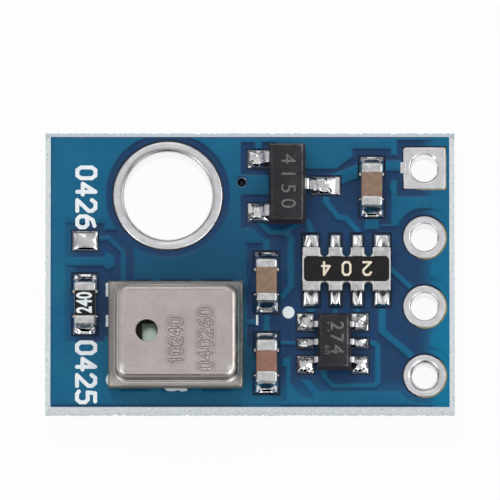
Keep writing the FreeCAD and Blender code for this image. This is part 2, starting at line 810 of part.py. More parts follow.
# The can: a flat flange on the carrier and a raised hollow lid with a vent
def sensor_can(bottom):
    top = seat + sensor_height
    flange_length = sensor_length - 2 * flange_inset
    flange_width = sensor_width - 2 * flange_inset
    flange = box(sensor_x, sensor_y, bottom, flange_length, flange_width, can_wall)
    lid = box(sensor_x + 0.03, sensor_y, bottom, lid_length, lid_width, top - bottom)
    lid = lid.makeFillet(lid_corner, [edge for edge in lid.Edges if is_upright(edge)])
    lid = lid.makeFillet(lid_round, [edge for edge in lid.Edges if abs(edge.BoundBox.ZMin - top) < 1e-6])
    room_top = top - can_wall
    room = box(sensor_x + 0.03, sensor_y, bottom, lid_length - 2 * can_wall, lid_width - 2 * can_wall,
               room_top - bottom)
    room = room.makeFillet(lid_corner - can_wall, [edge for edge in room.Edges if is_upright(edge)])
    room = room.makeFillet(lid_round - can_wall,
                           [edge for edge in room.Edges if abs(edge.BoundBox.ZMin - room_top) < 1e-6])
    vent = post(sensor_x - vent_offset, sensor_y, room_top - can_wall, vent_radius, 3 * can_wall)
    return without(joined([flange, lid]), [room, vent])


def write_pieces():
    for name, shape in pieces.items():
        shape.exportStep("parts/" + name + ".step")
    print(len(pieces), "nodes", round(board_length, 3), "by", round(board_width, 3), "by", round(seat, 3))


make_core()
make_plated_holes()
make_copper()
make_masks()
make_lands()
make_ink()
make_capacitors()
make_address_resistor()
make_array()
make_leaded("regulator", regulator_x, regulator_y, regulator_width, regulator_length, regulator_height,
            regulator_span, regulator_lead_width, regulator_leads(), regulator_lands(), [(0.0, 0.6, 0.9)])
make_leaded("transistor", transistor_x, transistor_y, transistor_width, transistor_length, transistor_height,
            transistor_span, transistor_lead_width, transistor_leads(), transistor_lands(),
            [(0.45, 0.4, 0.4), (-0.45, 0.4, 0.4)])
make_sensor()
write_pieces()
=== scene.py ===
import math
import bmesh
import bpy
import numpy as np
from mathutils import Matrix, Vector, geometry


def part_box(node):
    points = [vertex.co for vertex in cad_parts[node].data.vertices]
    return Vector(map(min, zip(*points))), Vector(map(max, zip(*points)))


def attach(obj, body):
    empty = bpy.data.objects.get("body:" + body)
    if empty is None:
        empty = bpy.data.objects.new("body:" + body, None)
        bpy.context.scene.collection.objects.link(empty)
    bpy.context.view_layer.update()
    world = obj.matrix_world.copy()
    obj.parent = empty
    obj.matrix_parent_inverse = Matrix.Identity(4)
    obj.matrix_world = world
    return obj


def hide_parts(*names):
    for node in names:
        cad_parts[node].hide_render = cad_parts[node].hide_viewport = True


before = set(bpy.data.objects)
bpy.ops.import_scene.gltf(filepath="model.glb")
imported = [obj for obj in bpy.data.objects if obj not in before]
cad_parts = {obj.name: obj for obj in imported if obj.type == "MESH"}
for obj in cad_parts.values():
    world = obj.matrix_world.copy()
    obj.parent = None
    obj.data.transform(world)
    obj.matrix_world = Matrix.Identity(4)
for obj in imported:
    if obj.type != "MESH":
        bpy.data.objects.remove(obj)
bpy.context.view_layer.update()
print("frame loaded with", len(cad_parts), "nodes")

mm = 0.001
dice = np.random.default_rng(86)


def tone(red, green, blue):  # a colour as a screen shows it, turned to the linear values that shaders take
    values = np.array([red, green, blue]) / 255
    linear = np.where(values <= 0.04045, values / 12.92, ((values + 0.055) / 1.055) ** 2.4)
    return (*linear.tolist(), 1.0)


def boxOf(node):  # a node's two corners in millimetres
    low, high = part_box(node)
    return np.array(low) / mm, np.array(high) / mm


def middleOf(node):
    low, high = boxOf(node)
    return (low + high) / 2


def smoothStep(value):  # eases from 0 to 1: three times the square less twice the cube
    value = np.clip(value, 0, 1)
    return value * value * (3 - 2 * value)


def linkObject(name, data):  # an object at the origin, unturned and unscaled
    made = bpy.data.objects.new(name, data)
    bpy.context.scene.collection.objects.link(made)
    return made


# Camera: nearly flat on, leaning a little towards the lower edge, with a very long lens
photoView = {"pixels": 500, "pixelsPerMm": 27.47, "lean": 7.5, "aimY": 0.797, "aimZ": 1.6, "distance": 500.0,
             "sensor": 36, "clip": (0.01, 20)}


def makeCamera():
    data = bpy.data.cameras.new("camera")
    data.sensor_width = photoView["sensor"]
    data.lens = data.sensor_width * photoView["distance"] / (photoView["pixels"] / photoView["pixelsPerMm"])
    data.clip_start, data.clip_end = photoView["clip"]
    camera = linkObject("camera", data)
    lean = math.radians(photoView["lean"])
    back = Vector((0, -math.sin(lean), math.cos(lean)))
    aim = Vector((0, photoView["aimY"], photoView["aimZ"])) * mm
    camera.location = aim + back * photoView["distance"] * mm
    camera.rotation_euler = back.to_track_quat("Z", "Y").to_euler()
    bpy.context.scene.camera = camera


makeCamera()


# Nodes: each input takes a value, or the socket that feeds it
def addNode(tree, kind, inputs=None, **settings):
    made = tree.nodes.new(kind)
    for key, value in settings.items():
        setattr(made, key, value)
    for key, value in (inputs or {}).items():
        if isinstance(value, bpy.types.NodeSocket):
            tree.links.new(value, made.inputs[key])
        else:
            made.inputs[key].default_value = value
    return made


def reckon(tree, operation, first, second):
    return addNode(tree, "ShaderNodeMath", {0: first, 1: second}, operation=operation).outputs[0]


def pointInMm(tree):  # object coordinates scaled to millimetres
    place = addNode(tree, "ShaderNodeTexCoord").outputs["Object"]
    return addNode(tree, "ShaderNodeVectorMath", {0: place, "Scale": 1 / mm}, operation="SCALE").outputs[0]


# Shader groups, each built once, with named inputs and one output
def newGroup(name, inputs, output, kind="NodeSocketFloat"):
    group = bpy.data.node_groups.new(name, "ShaderNodeTree")
    for key, value in inputs.items():
        group.interface.new_socket(key, in_out="INPUT", socket_type="NodeSocketFloat").default_value = value
    group.interface.new_socket(output, in_out="OUTPUT", socket_type=kind)
    given = group.nodes.new("NodeGroupInput").outputs
    return group, given, group.nodes.new("NodeGroupOutput").inputs[output]


def makeMottle():  # soft clouds: the middle part of a noise, spread between Low and High
    group, given, result = newGroup("mottle", {"PerMm": 2.0, "Detail": 4.0, "Low": 0.0, "High": 1.0}, "Value")
    noise = addNode(group, "ShaderNodeTexNoise", {
        "Vector": pointInMm(group), "Scale": given["PerMm"], "Detail": given["Detail"], "Roughness": 0.6})
    spread = addNode(group, "ShaderNodeMapRange", {
        "Value": noise.outputs[0], "From Min": 0.3, "From Max": 0.7,
        "To Min": given["Low"], "To Max": given["High"]})
    group.links.new(spread.outputs[0], result)
    return group


def makeSpecks():  # small scattered dots: only the cells of a random share show theirs
    group, given, result = newGroup("specks", {"PerMm": 1.5, "Size": 0.05, "Share": 0.2}, "Mask")
    cells = addNode(group, "ShaderNodeTexVoronoi", {
        "Vector": pointInMm(group), "Scale": given["PerMm"], "Randomness": 1.0})
    draw = addNode(group, "ShaderNodeSeparateColor", {0: cells.outputs["Color"]})
    near = reckon(group, "LESS_THAN", cells.outputs["Distance"], given["Size"])
    chosen = reckon(group, "LESS_THAN", draw.outputs[0], given["Share"])
    group.links.new(reckon(group, "MULTIPLY", near, chosen), result)
    return group


def makeGrain():  # a fine uneven surface, given as a normal
    inputs = {"PerMm": 8.0, "Height": 0.005, "Strength": 0.5}
    group, given, result = newGroup("grain", inputs, "Normal", "NodeSocketVector")
    noise = addNode(group, "ShaderNodeTexNoise", {
        "Vector": pointInMm(group), "Scale": given["PerMm"], "Detail": 4.0, "Roughness": 0.55})
    depth = reckon(group, "MULTIPLY", given["Height"], mm)
    bump = addNode(group, "ShaderNodeBump", {
        "Height": noise.outputs[0], "Distance": depth, "Strength": given["Strength"]})
    group.links.new(bump.outputs[0], result)
    return group


groups = {"mottle": makeMottle(), "specks": makeSpecks(), "grain": makeGrain()}
print("shader groups made")


def mottle(perMm, detail=4.0, low=0.0, high=1.0):
    return "mottle", {"PerMm": perMm, "Detail": detail, "Low": low, "High": high}


def specks(perMm, size, share):
    return "specks", {"PerMm": perMm, "Size": size, "Share": share}


def grain(perMm, height, strength):
    return "grain", {"PerMm": perMm, "Height": height, "Strength": strength}


def sourceOf(tree, source):  # a name is an attribute, a pair a group with its values, a list a product
    if isinstance(source, str):
        return addNode(tree, "ShaderNodeAttribute", attribute_name=source).outputs["Fac"]
    if isinstance(source, list):
        return reckon(tree, "MULTIPLY", sourceOf(tree, source[0]), sourceOf(tree, source[1]))
    return addNode(tree, "ShaderNodeGroup", source[1], node_tree=groups[source[0]]).outputs[0]


def blended(tree, recipe):  # the first colour, with each next one laid over it where its mask says
    if isinstance(recipe, tuple):
        return tone(*recipe)
    colour = blended(tree, recipe[0])
    for mask, tint in recipe[1:]:
        inputs = {0: sourceOf(tree, mask), 6: colour, 7: blended(tree, tint)}
        colour = addNode(tree, "ShaderNodeMix", inputs, data_type="RGBA").outputs[2]
    return colour


def newMaterial(name, plain):
    material = bpy.data.materials.new(name)
    material.use_nodes = True
    shader = material.node_tree.nodes["Principled BSDF"]
    for key, value in plain.items():
        shader.inputs[key].default_value = value
    return material, material.node_tree, shader


def finish(name, recipe, roughness, surface, plain):
    material, tree, shader = newMaterial(name, plain)
    tree.links.new(blended(tree, recipe), shader.inputs["Base Color"])
    tree.links.new(sourceOf(tree, roughness), shader.inputs["Roughness"])
    tree.links.new(sourceOf(tree, surface), shader.inputs["Normal"])
    return material


# Blue lacquer: dark over bare laminate, lighter over copper and paler towards the borders as a painted
# reflection, with a painted teal glow towards the near right corner, and in thin painted shadow where it
# steps down
lacquer = {
    "bare": [(12, 62, 108), (mottle(3.0, 5.0), (36, 64, 96))],
    "copper": [(16, 78, 112), ("outwards", [(8, 95, 134), (mottle(0.8, 5.0), (24, 105, 140))]),
               ("teal", (0, 116, 154))],
    "step": (4, 36, 72), "dust": (190, 215, 230),
}


def lacquerMaterial():
    recipe = [lacquer["bare"], ("copper", lacquer["copper"]), ("step", lacquer["step"]),
              (specks(1.1, 0.055, 0.16), lacquer["dust"])]
    plain = {"IOR": 1.5, "Specular IOR Level": 0.22}
    return finish("blueLacquer", recipe, mottle(1.5, 4.0, 0.22, 0.34), grain(5.0, 0.004, 0.4), plain)


def laminateMaterial():  # pale resin with chopped glass showing at the snapped edges, painted shade on the far edge and in the gaps by the lands
    recipe = [(208, 220, 224), (mottle(9.0, 6.0), (250, 254, 255)), (specks(5.0, 0.2, 0.12), (160, 172, 172)),
              ("far", (194, 204, 212)), ("inner", (36, 48, 70))]
    return finish("glassLaminate", recipe, mottle(6.0, 4.0, 0.6, 0.9), grain(14.0, 0.02, 0.7), {})


def tinMaterial(name, dull, bright, roughness, lumps, height, metallic=1.0):  # cloudy metal, a few dents
    recipe = [dull, (mottle(lumps, 5.0), bright), (specks(2.4, 0.07, 0.12), (118, 118, 124)),
              # a painted near-white sheen, and dark creases: painted shade and dark reflection in solder
              # hollows and on the ring's bevel, with a dark seam by the array's ends
              ("paintedSheen", (252, 252, 252)), ("crease", (44, 44, 48))]
    return finish(name, recipe, mottle(lumps * 2.0, 4.0, *roughness), grain(lumps * 1.6, height, 0.6),
                  {"Metallic": metallic})


def canMaterial():  # drawn steel: warm grey, gritty, stained here and there, with a dark greenish flange, painted shade and painted highlights laid on by attributes
    recipe = [(206, 197, 192), (mottle(1.3, 6.0), (222, 213, 208)),
              (mottle(20.0, 3.0, 0.0, 0.35), (160, 151, 147)), (specks(2.2, 0.10, 0.08), (168, 158, 154)),
              ("flange", [(78, 86, 88), (mottle(4.0, 6.0), (113, 121, 122))]),
              ("paintedHighlight", (255, 252, 248)), ("paintedShade", (112, 102, 98))]
    return finish("canSteel", recipe, mottle(3.0, 4.0, 0.3, 0.42), grain(20.0, 0.003, 0.6), {"Metallic": 1.0})


def mouldMaterial(name, dark, light, rough):  # fine black resin, painted pale in patches as painted highlights
    recipe = [dark, (mottle(14.0, 5.0), light), (["paintedGlint", mottle(3.0, 6.0, 0.0, 0.8)], (150, 148, 150))]
    return finish(name, recipe, mottle(8.0, 4.0, rough, rough + 0.15), grain(24.0, 0.008, 0.8),
                  {"IOR": 1.5, "Specular IOR Level": 0.25})


def ceramicMaterial(name, dark, light, rough):  # cloudy, with fine pits
    recipe = [dark, (mottle(5.0, 5.0), light), (specks(9.0, 0.16, 0.1), dark)]
    return finish(name, recipe, mottle(6.0, 4.0, rough, rough + 0.15), grain(12.0, 0.004, 0.5), {"IOR": 1.6})


def inkMaterial(name, colour, shade):
    recipe = [shade, (mottle(7.0), colour)]
    return finish(name, recipe, mottle(6.0, 4.0, 0.5, 0.7), grain(10.0, 0.006, 0.6), {"IOR": 1.45})


materials = {
    "lacquer": lacquerMaterial(),
    "laminate": laminateMaterial(),
    "plating": tinMaterial("tinnedPlating", (222, 222, 226), (246, 246, 248), (0.26, 0.4), 2.5, 0.006),
    "solder": tinMaterial("solder", (206, 206, 210), (250, 250, 250), (0.12, 0.2), 2.2, 0.002),
    "leads": tinMaterial("tinnedLead", (196, 195, 197), (245, 245, 246), (0.22, 0.36), 5.0, 0.005),
    "copper": tinMaterial("copperFoil", (30, 36, 52), (52, 50, 60), (0.4, 0.55), 3.0, 0.005),
    "gold": tinMaterial("goldWire", (226, 178, 96), (244, 204, 124), (0.15, 0.25), 5.0, 0.002),
    "can": canMaterial(),
    "mould": mouldMaterial("blackMould", (26, 25, 29), (48, 47, 52), 0.5),
    "coat": mouldMaterial("blackCoat", (14, 13, 15), (34, 32, 34), 0.35),
    "plug": mouldMaterial("plugLacquer", (6, 10, 30), (12, 20, 44), 0.35),
    "collar": tinMaterial("coatedCollar", (92, 138, 168), (112, 158, 186), (0.2, 0.3), 5.0, 0.002, 0.0),
    "alumina": ceramicMaterial("whiteCeramic", (205, 205, 200), (232, 232, 228), 0.5),
    "tanCeramic": ceramicMaterial("tanCeramic", (126, 98, 80), (150, 124, 104), 0.36),
    "redCeramic": ceramicMaterial("redCeramic", (134, 92, 78), (152, 112, 96), 0.36),
    "carrier": ceramicMaterial("carrierPlate", (92, 92, 80), (116, 114, 98), 0.5),
    "ink": inkMaterial("whiteInk", (252, 254, 255), (226, 238, 246)),
    "laserMark": inkMaterial("laserMark", (124, 122, 126), (84, 83, 86)),
    "codeInk": inkMaterial("creamInk", (250, 240, 220), (228, 214, 190)),
    "brass": ceramicMaterial("thinBrass", (128, 122, 88), (172, 166, 128), 0.4),
    "silicon": tinMaterial("polishedSilicon", (226, 246, 230), (238, 252, 240), (0.24, 0.32), 1.5, 0.001,
                           0.6),
}
print("materials made:", len(materials))


# Mesh helpers. A shell is a pair: its points in millimetres and its faces
def gridFaces(rows, columns, closedRows=False, closedColumns=False):  # one quad for each cell of a grid
    down = np.arange(rows if closedRows else rows - 1)
    across = np.arange(columns if closedColumns else columns - 1)
    i, j = np.meshgrid(down, across, indexing="ij")
    nextI = (i + 1) % rows
    nextJ = (j + 1) % columns
    corners = [i * columns + j, i * columns + nextJ, nextI * columns + nextJ, nextI * columns + j]
    return np.stack(corners, axis=-1).reshape(-1, 4)


def loopShell(loops):  # each loop joined to the next one, and the last to the first
    loops = np.asarray(loops)
    return loops.reshape(-1, 3), gridFaces(loops.shape[0], loops.shape[1], True, True)


def cappedShell(loops):  # each loop joined to the next one, with a flat face over the first and the last
    loops = np.asarray(loops)
    rows, columns = loops.shape[:2]
    order = np.arange(rows * columns).tolist()
    faces = gridFaces(rows, columns, closedColumns=True).tolist() + [order[:columns], order[-columns:]]
    return loops.reshape(-1, 3), faces


def levelLoop(flat, z):  # a loop in the plane lifted to one height, or to a height for each point
    return np.column_stack([flat, np.zeros(len(flat)) + z])


def circle(centre, radius, angle, z):
    flat = np.column_stack([centre[0] + radius * np.cos(angle), centre[1] + radius * np.sin(angle)])
    return levelLoop(flat, z)


def countedOn(faces, start):
    if isinstance(faces, np.ndarray):
        return (faces + start).tolist()
    return [[corner + start for corner in face] for face in faces]


def enterPiece(name, mesh, material, replaced):  # a finished mesh joins the scene and the frame
    mesh.materials.append(materials[material])
    piece = linkObject(name, mesh)
    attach(piece, "root")
    if replaced:
        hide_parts(*replaced)


def addPiece(name, shells, material, replaced=(), sharp=40, attributes=None):
    faces = []
    start = 0
    for points, shellFaces in shells:
        faces += countedOn(shellFaces, start)
        start += len(points)
    mesh = bpy.data.meshes.new(name)
    mesh.from_pydata((np.vstack([shell[0] for shell in shells]) * mm).tolist(), [], faces)
    for key, values in (attributes or {}).items():
        layer = mesh.attributes.new(key, "FLOAT", "POINT")
        layer.data.foreach_set("value", values.astype(np.float32))
    form = bmesh.new()
    form.from_mesh(mesh)
    bmesh.ops.remove_doubles(form, verts=form.verts, dist=1e-7)
    bmesh.ops.dissolve_degenerate(form, edges=form.edges, dist=1e-8)
    bmesh.ops.recalc_face_normals(form, faces=form.faces)
    form.to_mesh(mesh)
    form.free()
    mesh.shade_smooth()
    mesh.set_sharp_from_angle(angle=math.radians(sharp))
    enterPiece(name, mesh, material, replaced)


lumpWaves = {"x": 9.1, "y": 8.3, "shiftX": 7, "shiftY": 5}  # waves across a lumpy block, moved with its place


# A block with rounded edges: a sphere's points, each pushed out to its own corner of the block. Lumps draw
# a point in by a share that follows two crossed sines
def roundBlock(low, high, radius, steps=4, lumps=0.0):
    low, high = np.array(low, float), np.array(high, float)
    centre, half = (low + high) / 2, (high - low) / 2
    radius = min(radius, *(half * 0.98).tolist())
    quarter = np.linspace(0, math.pi / 2, steps + 1)
    around = np.concatenate([quarter + turn * math.pi / 2 for turn in range(4)])
    signX = np.repeat([1, -1, -1, 1], steps + 1)
    signY = np.repeat([1, 1, -1, -1], steps + 1)
    up = np.concatenate([quarter - math.pi / 2, quarter])
    signZ = np.repeat([-1, 1], steps + 1)
    reach = np.cos(up)[:, None]
    x = signX * (half[0] - radius) + radius * reach * np.cos(around)
    y = signY * (half[1] - radius) + radius * reach * np.sin(around)
    z = np.broadcast_to((signZ * (half[2] - radius) + radius * np.sin(up))[:, None], x.shape)
    points = np.stack([x, y, z], axis=-1)
    if lumps:
        wave = np.sin(x * lumpWaves["x"] + centre[0] * lumpWaves["shiftX"])
        wave = wave * np.sin(y * lumpWaves["y"] + centre[1] * lumpWaves["shiftY"])
        points = points * (1 - lumps * (0.5 + 0.5 * wave))[..., None]
    columns = len(around)
    last = (len(up) - 1) * columns
    faces = gridFaces(len(up), columns, closedColumns=True).tolist()
    faces += [[start + turn * (steps + 1) for turn in range(4)] for start in (0, last)]
    return points.reshape(-1, 3) + centre, faces


# A cushion over a rectangle: a height field on top, flat underneath, closed round its rim
def cushion(low, high, bottom, heightAt, across, along):
    u, v = np.meshgrid(np.linspace(-1, 1, across), np.linspace(-1, 1, along), indexing="ij")
    x = (low[0] + high[0]) / 2 + u * (high[0] - low[0]) / 2
    y = (low[1] + high[1]) / 2 + v * (high[1] - low[1]) / 2
    top = np.stack([x, y, heightAt(u, v, x, y)], axis=-1).reshape(-1, 3)
    floor = np.stack([x, y, np.full_like(x, bottom)], axis=-1).reshape(-1, 3)
    faces = gridFaces(across, along)
    under = faces[:, ::-1] + len(top)
    index = np.arange(across * along).reshape(across, along)
    rim = np.concatenate([index[0, :], index[1:, -1], index[-1, -2::-1], index[-2:0:-1, 0]])
    walls = np.stack([rim, np.roll(rim, -1), np.roll(rim, -1) + len(top), rim + len(top)], axis=-1)
    return np.vstack([top, floor]), np.vstack([faces, under, walls])


# Soft uneven swell between -1 and 1: the mean of four sine waves, each turned and finer than the one before
def bumps(x, y, pitch, seed):
    total = 0
    for number, phase in enumerate(np.array([0.0, 1.7, 3.1, 4.4]) + seed):
        turn = phase * 1.3 + number
        along = x * math.cos(turn) + y * math.sin(turn)
        total = total + np.sin(along * (2 * math.pi / pitch) * (1 + 0.35 * number) + phase * 5)
    return total / 4


# the same number of points on each side, whatever the size
def roundedLoop(halfX, halfY, radius, straight, arc):
    quarter = np.linspace(0, math.pi / 2, arc + 1)
    share = np.linspace(0, 1, straight, endpoint=False)[1:]
    loop = []
    corners = [(1, 1), (-1, 1), (-1, -1), (1, -1)]
    for turn, (signX, signY) in enumerate(corners):
        centre = np.array([signX * (halfX - radius), signY * (halfY - radius)])
        angle = quarter + turn * math.pi / 2
        bend = centre + radius * np.column_stack([np.cos(angle), np.sin(angle)])
        loop.append(bend)
        nextX, nextY = corners[(turn + 1) % 4]
        after = (turn + 1) * math.pi / 2
        target = np.array([nextX * (halfX - radius), nextY * (halfY - radius)])
        target = target + radius * np.array([math.cos(after), math.sin(after)])
        loop.append(bend[-1] + (target - bend[-1]) * share[:, None])
    return np.vstack(loop)


# Readings from the frame's own meshes, in millimetres
reading = {"digits": 5, "slack": 1e-4, "portion": 1500}


def nodeTriangles(node):
    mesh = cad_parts[node].data
    points = np.empty(len(mesh.vertices) * 3)
    mesh.vertices.foreach_get("co", points)
    mesh.calc_loop_triangles()
    corners = np.empty(len(mesh.loop_triangles) * 3, int)
    mesh.loop_triangles.foreach_get("vertices", corners)
    return points.reshape(-1, 3) / mm, corners.reshape(-1, 3)


def weldedTriangles(node):  # the same with points that coincide made one
    points, corners = nodeTriangles(node)
    same, place = np.unique(np.round(points, reading["digits"]), axis=0, return_inverse=True)
    return same, place.reshape(-1)[corners]


def edgePairs(triangles):
    return np.vstack([triangles[:, [0, 1]], triangles[:, [1, 2]], triangles[:, [2, 0]]])


def flatOutline(node, level):  # the outline of a node's faces at one height, as points and edges in the plane
    points, corners = weldedTriangles(node)
    flat = corners[np.all(np.abs(points[corners][:, :, 2] - level) < reading["slack"], axis=1)]
    keys, counts = np.unique(np.sort(edgePairs(flat), axis=1), axis=0, return_counts=True)
    used, edges = np.unique(keys[counts == 1], return_inverse=True)
    return points[used][:, :2], edges.reshape(-1, 2)


def islands(node):  # the boxes of a node's separate solids, from left to right
    points, corners = weldedTriangles(node)
    label = np.arange(len(points))
    while True:
        lowest = label[corners].min(axis=1)
        fresh = label.copy()
        for side in range(3):
            np.minimum.at(fresh, corners[:, side], lowest)
        fresh = fresh[fresh]
        if np.array_equal(fresh, label):
            break
        label = fresh
    used = np.unique(label[corners[:, 0]])
    boxes = [(points[label == one].min(axis=0), points[label == one].max(axis=0)) for one in used]
    return sorted(boxes, key=lambda box: (round(box[0][0], 3), round(box[0][1], 3)))


def portions(count):  # the numbers up to a count, in runs that fit one table
    return np.array_split(np.arange(count), max(1, count // reading["portion"]))


def insideOf(points, segments):  # whether each point lies inside closed outlines, by counting crossings
    start, end = segments[:, 0], segments[:, 1]
    rise = end[:, 1] - start[:, 1]
    slope = (end[:, 0] - start[:, 0]) / np.where(rise == 0, 1, rise)
    found = np.zeros(len(points), bool)
    for part in portions(len(points)):
        x = points[part, 0][:, None]
        y = points[part, 1][:, None]
        spans = (start[:, 1] > y) != (end[:, 1] > y)
        crossing = start[:, 0] + (y - start[:, 1]) * slope
        found[part] = (spans & (x < crossing)).sum(axis=1) % 2 == 1
    return found


def distanceTo(points, segments):  # how far each point lies from the nearest segment
    start = segments[:, 0]
    way = segments[:, 1] - start
    length = np.maximum((way ** 2).sum(axis=1), 1e-12)
    nearest = np.empty(len(points))
    for part in portions(len(points)):
        offset = points[part][:, None, :] - start
        share = np.clip((offset * way).sum(axis=2) / length, 0, 1)
        gap = offset - share[..., None] * way
        nearest[part] = np.sqrt((gap ** 2).sum(axis=2).min(axis=1))
    return nearest


def looseWithin(loose, outline, clear):  # the loose points that lie inside an outline and clear of it
    loose = loose[insideOf(loose, outline)]
    return loose[distanceTo(loose, outline) > clear]


def gridPoints(low, high, step):
    x = np.arange(low[0] + step / 2, high[0], step)
    y = np.arange(low[1] + step / 2, high[1], step)
    x, y = np.meshgrid(x, y, indexing="ij")
    return np.column_stack([x.ravel(), y.ravel()])


def stretches(segments, longest):  # segments cut evenly: each stretch's segment, number, count and length
    length = np.linalg.norm(segments[:, 1] - segments[:, 0], axis=1)
    pieces = np.maximum(1, np.ceil(length / longest).astype(int))
    owner = np.repeat(np.arange(len(length)), pieces)
    step = np.arange(len(owner)) - np.repeat(np.cumsum(pieces) - pieces, pieces)
    return owner, step, pieces[owner], length[owner]


def mergedEnds(segments):  # segments as points and edges, with the ends that coincide made one
    both, place = np.unique(np.round(segments.reshape(-1, 2), 6), axis=0, return_inverse=True)
    return both, place.reshape(-1, 2)


def dividedOutline(node, level, longest):  # a node's outline with its long edges cut into short ones
    points, edges = flatOutline(node, level)
    segments = points[edges]
    owner, step, pieces, length = stretches(segments, longest)
    way = segments[owner, 1] - segments[owner, 0]
    first = segments[owner, 0] + way * (step / pieces)[:, None]
    second = segments[owner, 0] + way * ((step + 1) / pieces)[:, None]
    return mergedEnds(np.stack([first, second], axis=1))


# A closed sheet: the outline and loose points joined into triangles, given two heights each, and walled
def closedSheet(points, edges, loose, topAt, bottomAt):
    everything = np.vstack([points, loose]) if len(loose) else points
    result = geometry.delaunay_2d_cdt([Vector(p) for p in everything.tolist()], edges.tolist(), [], 0, 1e-6)
    flat = np.array([list(p) for p in result[0]])
    triangles = np.array([list(face) for face in result[2]])
    middles = flat[triangles].mean(axis=1)
    triangles = triangles[insideOf(middles, points[edges])]
    a, b, c = (flat[triangles[:, side]] for side in range(3))
    area = (b[:, 0] - a[:, 0]) * (c[:, 1] - a[:, 1]) - (b[:, 1] - a[:, 1]) * (c[:, 0] - a[:, 0])
    triangles = np.where((area > 0)[:, None], triangles, triangles[:, ::-1])[np.abs(area) > 1e-9]
    count = len(flat)
    pairs = edgePairs(triangles)
    rim = pairs[~np.isin(pairs[:, 0] * count + pairs[:, 1], pairs[:, 1] * count + pairs[:, 0])]
    walls = np.stack([rim[:, 1], rim[:, 0], rim[:, 0] + count, rim[:, 1] + count], axis=-1)
    heights = np.vstack([levelLoop(flat, topAt(flat)), levelLoop(flat, bottomAt(flat))])
    return (heights, triangles.tolist() + (triangles[:, ::-1] + count).tolist() + walls.tolist()), flat


# Heights of the board's layers, read from the frame
boardLow, boardHigh = boxOf("laminate")
maskLow, maskHigh = boxOf("solder_mask_top")
coreTop = maskLow[2]
maskLevel = maskHigh[2]
foilTop = boxOf("copper_pour_top")[1][2]
seat = boxOf("soldering_lands")[1][2]
bed, bedLeast = 0.02, 0.01  # how far solder reaches below the lands' top, and how far its surface may dip

lacquerRelief = {
    "drop": 0.024, "slope": 0.12, "tint": 0.09, "rowStep": 0.09, "gridStep": 0.3, "edgeStep": 0.15,
    "clear": 0.02,
    "thick": 0.8,  # share of the climb where it lies thick
    "middle": (-2.0, 0.6), "outwards": (6.0, 4.2),  # it pales from the middle to these distances: a painted reflection, brightest at the borders
    "teal": (5.4, 1.8, 3.5, 7),  # where it turns teal, a painted glow: x and width, y and width
    "stepReach": 0.03, "stepRise": 0.014, "stepShade": 0.8,
    "underStep": 0.2, "underOutwards": 0.8,
}
thickParts = {  # where it lies thick off the copper: how far before a line it starts, and over what width
    "header": (0.25, 0.85), "beside": (0.02, 0.08), "besideTop": (-0.2, 0.5), "band": (0.6, 0.2),
    "below": 0.1, "belowRight": (0.25, 0.2), "corner": 0.85, "left": (0.35, 0.6, 0.62),
    "near": (-3.85, 0.6, 0.5),
}


def copperOutline(nodes, level):
    outlines = [flatOutline(node, level) for node in nodes]
    return np.vstack([points[edges] for points, edges in outlines])


topCopper = copperOutline(["copper_pour_top", "copper_tracks_top"], foilTop)


def signedCopper(points, outline):  # distance from the copper's edge, positive over copper
    reach = distanceTo(points, outline)
    return np.where(insideOf(points, outline), reach, -reach)


# The share of full thickness kept off the copper: beyond the header, round the third capacitor's land, and
# along the near and left edges, each a product of smooth steps
def thickLacquer(points):
    x, y = points[:, 0], points[:, 1]
    start, width = thickParts["header"]
    header = smoothStep((x - middleOf("header_pad_2")[0] + start) / width)
    landLow, landHigh = boxOf("capacitor_3_solder")
    start, width = thickParts["band"]
    band = smoothStep((x - landLow[0] + start) / width)
    start, width = thickParts["beside"]
    beside = smoothStep((landLow[0] + start - x) / width) * band
    start, width = thickParts["besideTop"]
    beside = beside * smoothStep((landHigh[1] + start - y) / width)
    start, width = thickParts["belowRight"]
    below = smoothStep((landLow[1] - y) / thickParts["below"])
    below = below * smoothStep((landHigh[0] + start - x) / width) * band
    start, width, share = thickParts["left"]
    left = share * smoothStep((boxOf("address_resistor_solder")[0][0] + start - x) / width)
    start, width, share = thickParts["near"]
    near = share * smoothStep((start - y) / width)
    corner = thickParts["corner"]
    return np.maximum.reduce([header, corner * beside, corner * below, left, near])


def climbOver(depth, width):  # from 0 to 1 across the copper's edge
    return smoothStep(depth / width + 0.5)


def maskHeight(points):  # full height over copper, and lower by the drop elsewhere
    share = climbOver(signedCopper(points, topCopper), lacquerRelief["slope"])
    share = np.maximum(share, thickLacquer(points) * lacquerRelief["thick"])
    return maskLevel - lacquerRelief["drop"] * (1 - share)


def slopeRows(outline):  # loose points in five rows along the copper's edge, where the lacquer climbs
    outline = outline[np.linalg.norm(outline[:, 1] - outline[:, 0], axis=1) > reading["slack"]]
    owner, step, pieces, length = stretches(outline, lacquerRelief["rowStep"])
    way = outline[owner, 1] - outline[owner, 0]
    middle = outline[owner, 0] + way * ((step + 0.5) / pieces)[:, None]
    across = np.column_stack([-way[:, 1], way[:, 0]]) / length[:, None]
    half = lacquerRelief["slope"] / 2
    return np.vstack([middle + across * offset for offset in (-half, -half / 2, 0, half / 2, half)])


def lacquerSheet(name, node, copper, level, edgeStep, topAt, bottomAt, tints):
    points, edges = dividedOutline(node, level, edgeStep)
    loose = np.vstack([slopeRows(copper), gridPoints(*boxOf(node), lacquerRelief["gridStep"])])
    loose = looseWithin(loose, points[edges], lacquerRelief["clear"])
    shell, flat = closedSheet(points, edges, loose, topAt, bottomAt)
    overCopper = climbOver(signedCopper(flat, copper), lacquerRelief["tint"])
    values = {key: np.tile(value, 2) for key, value in tints(flat, overCopper).items()}
    addPiece(name, [shell], "lacquer", [node], 35, values)
    print(name, "made with", len(flat), "points")


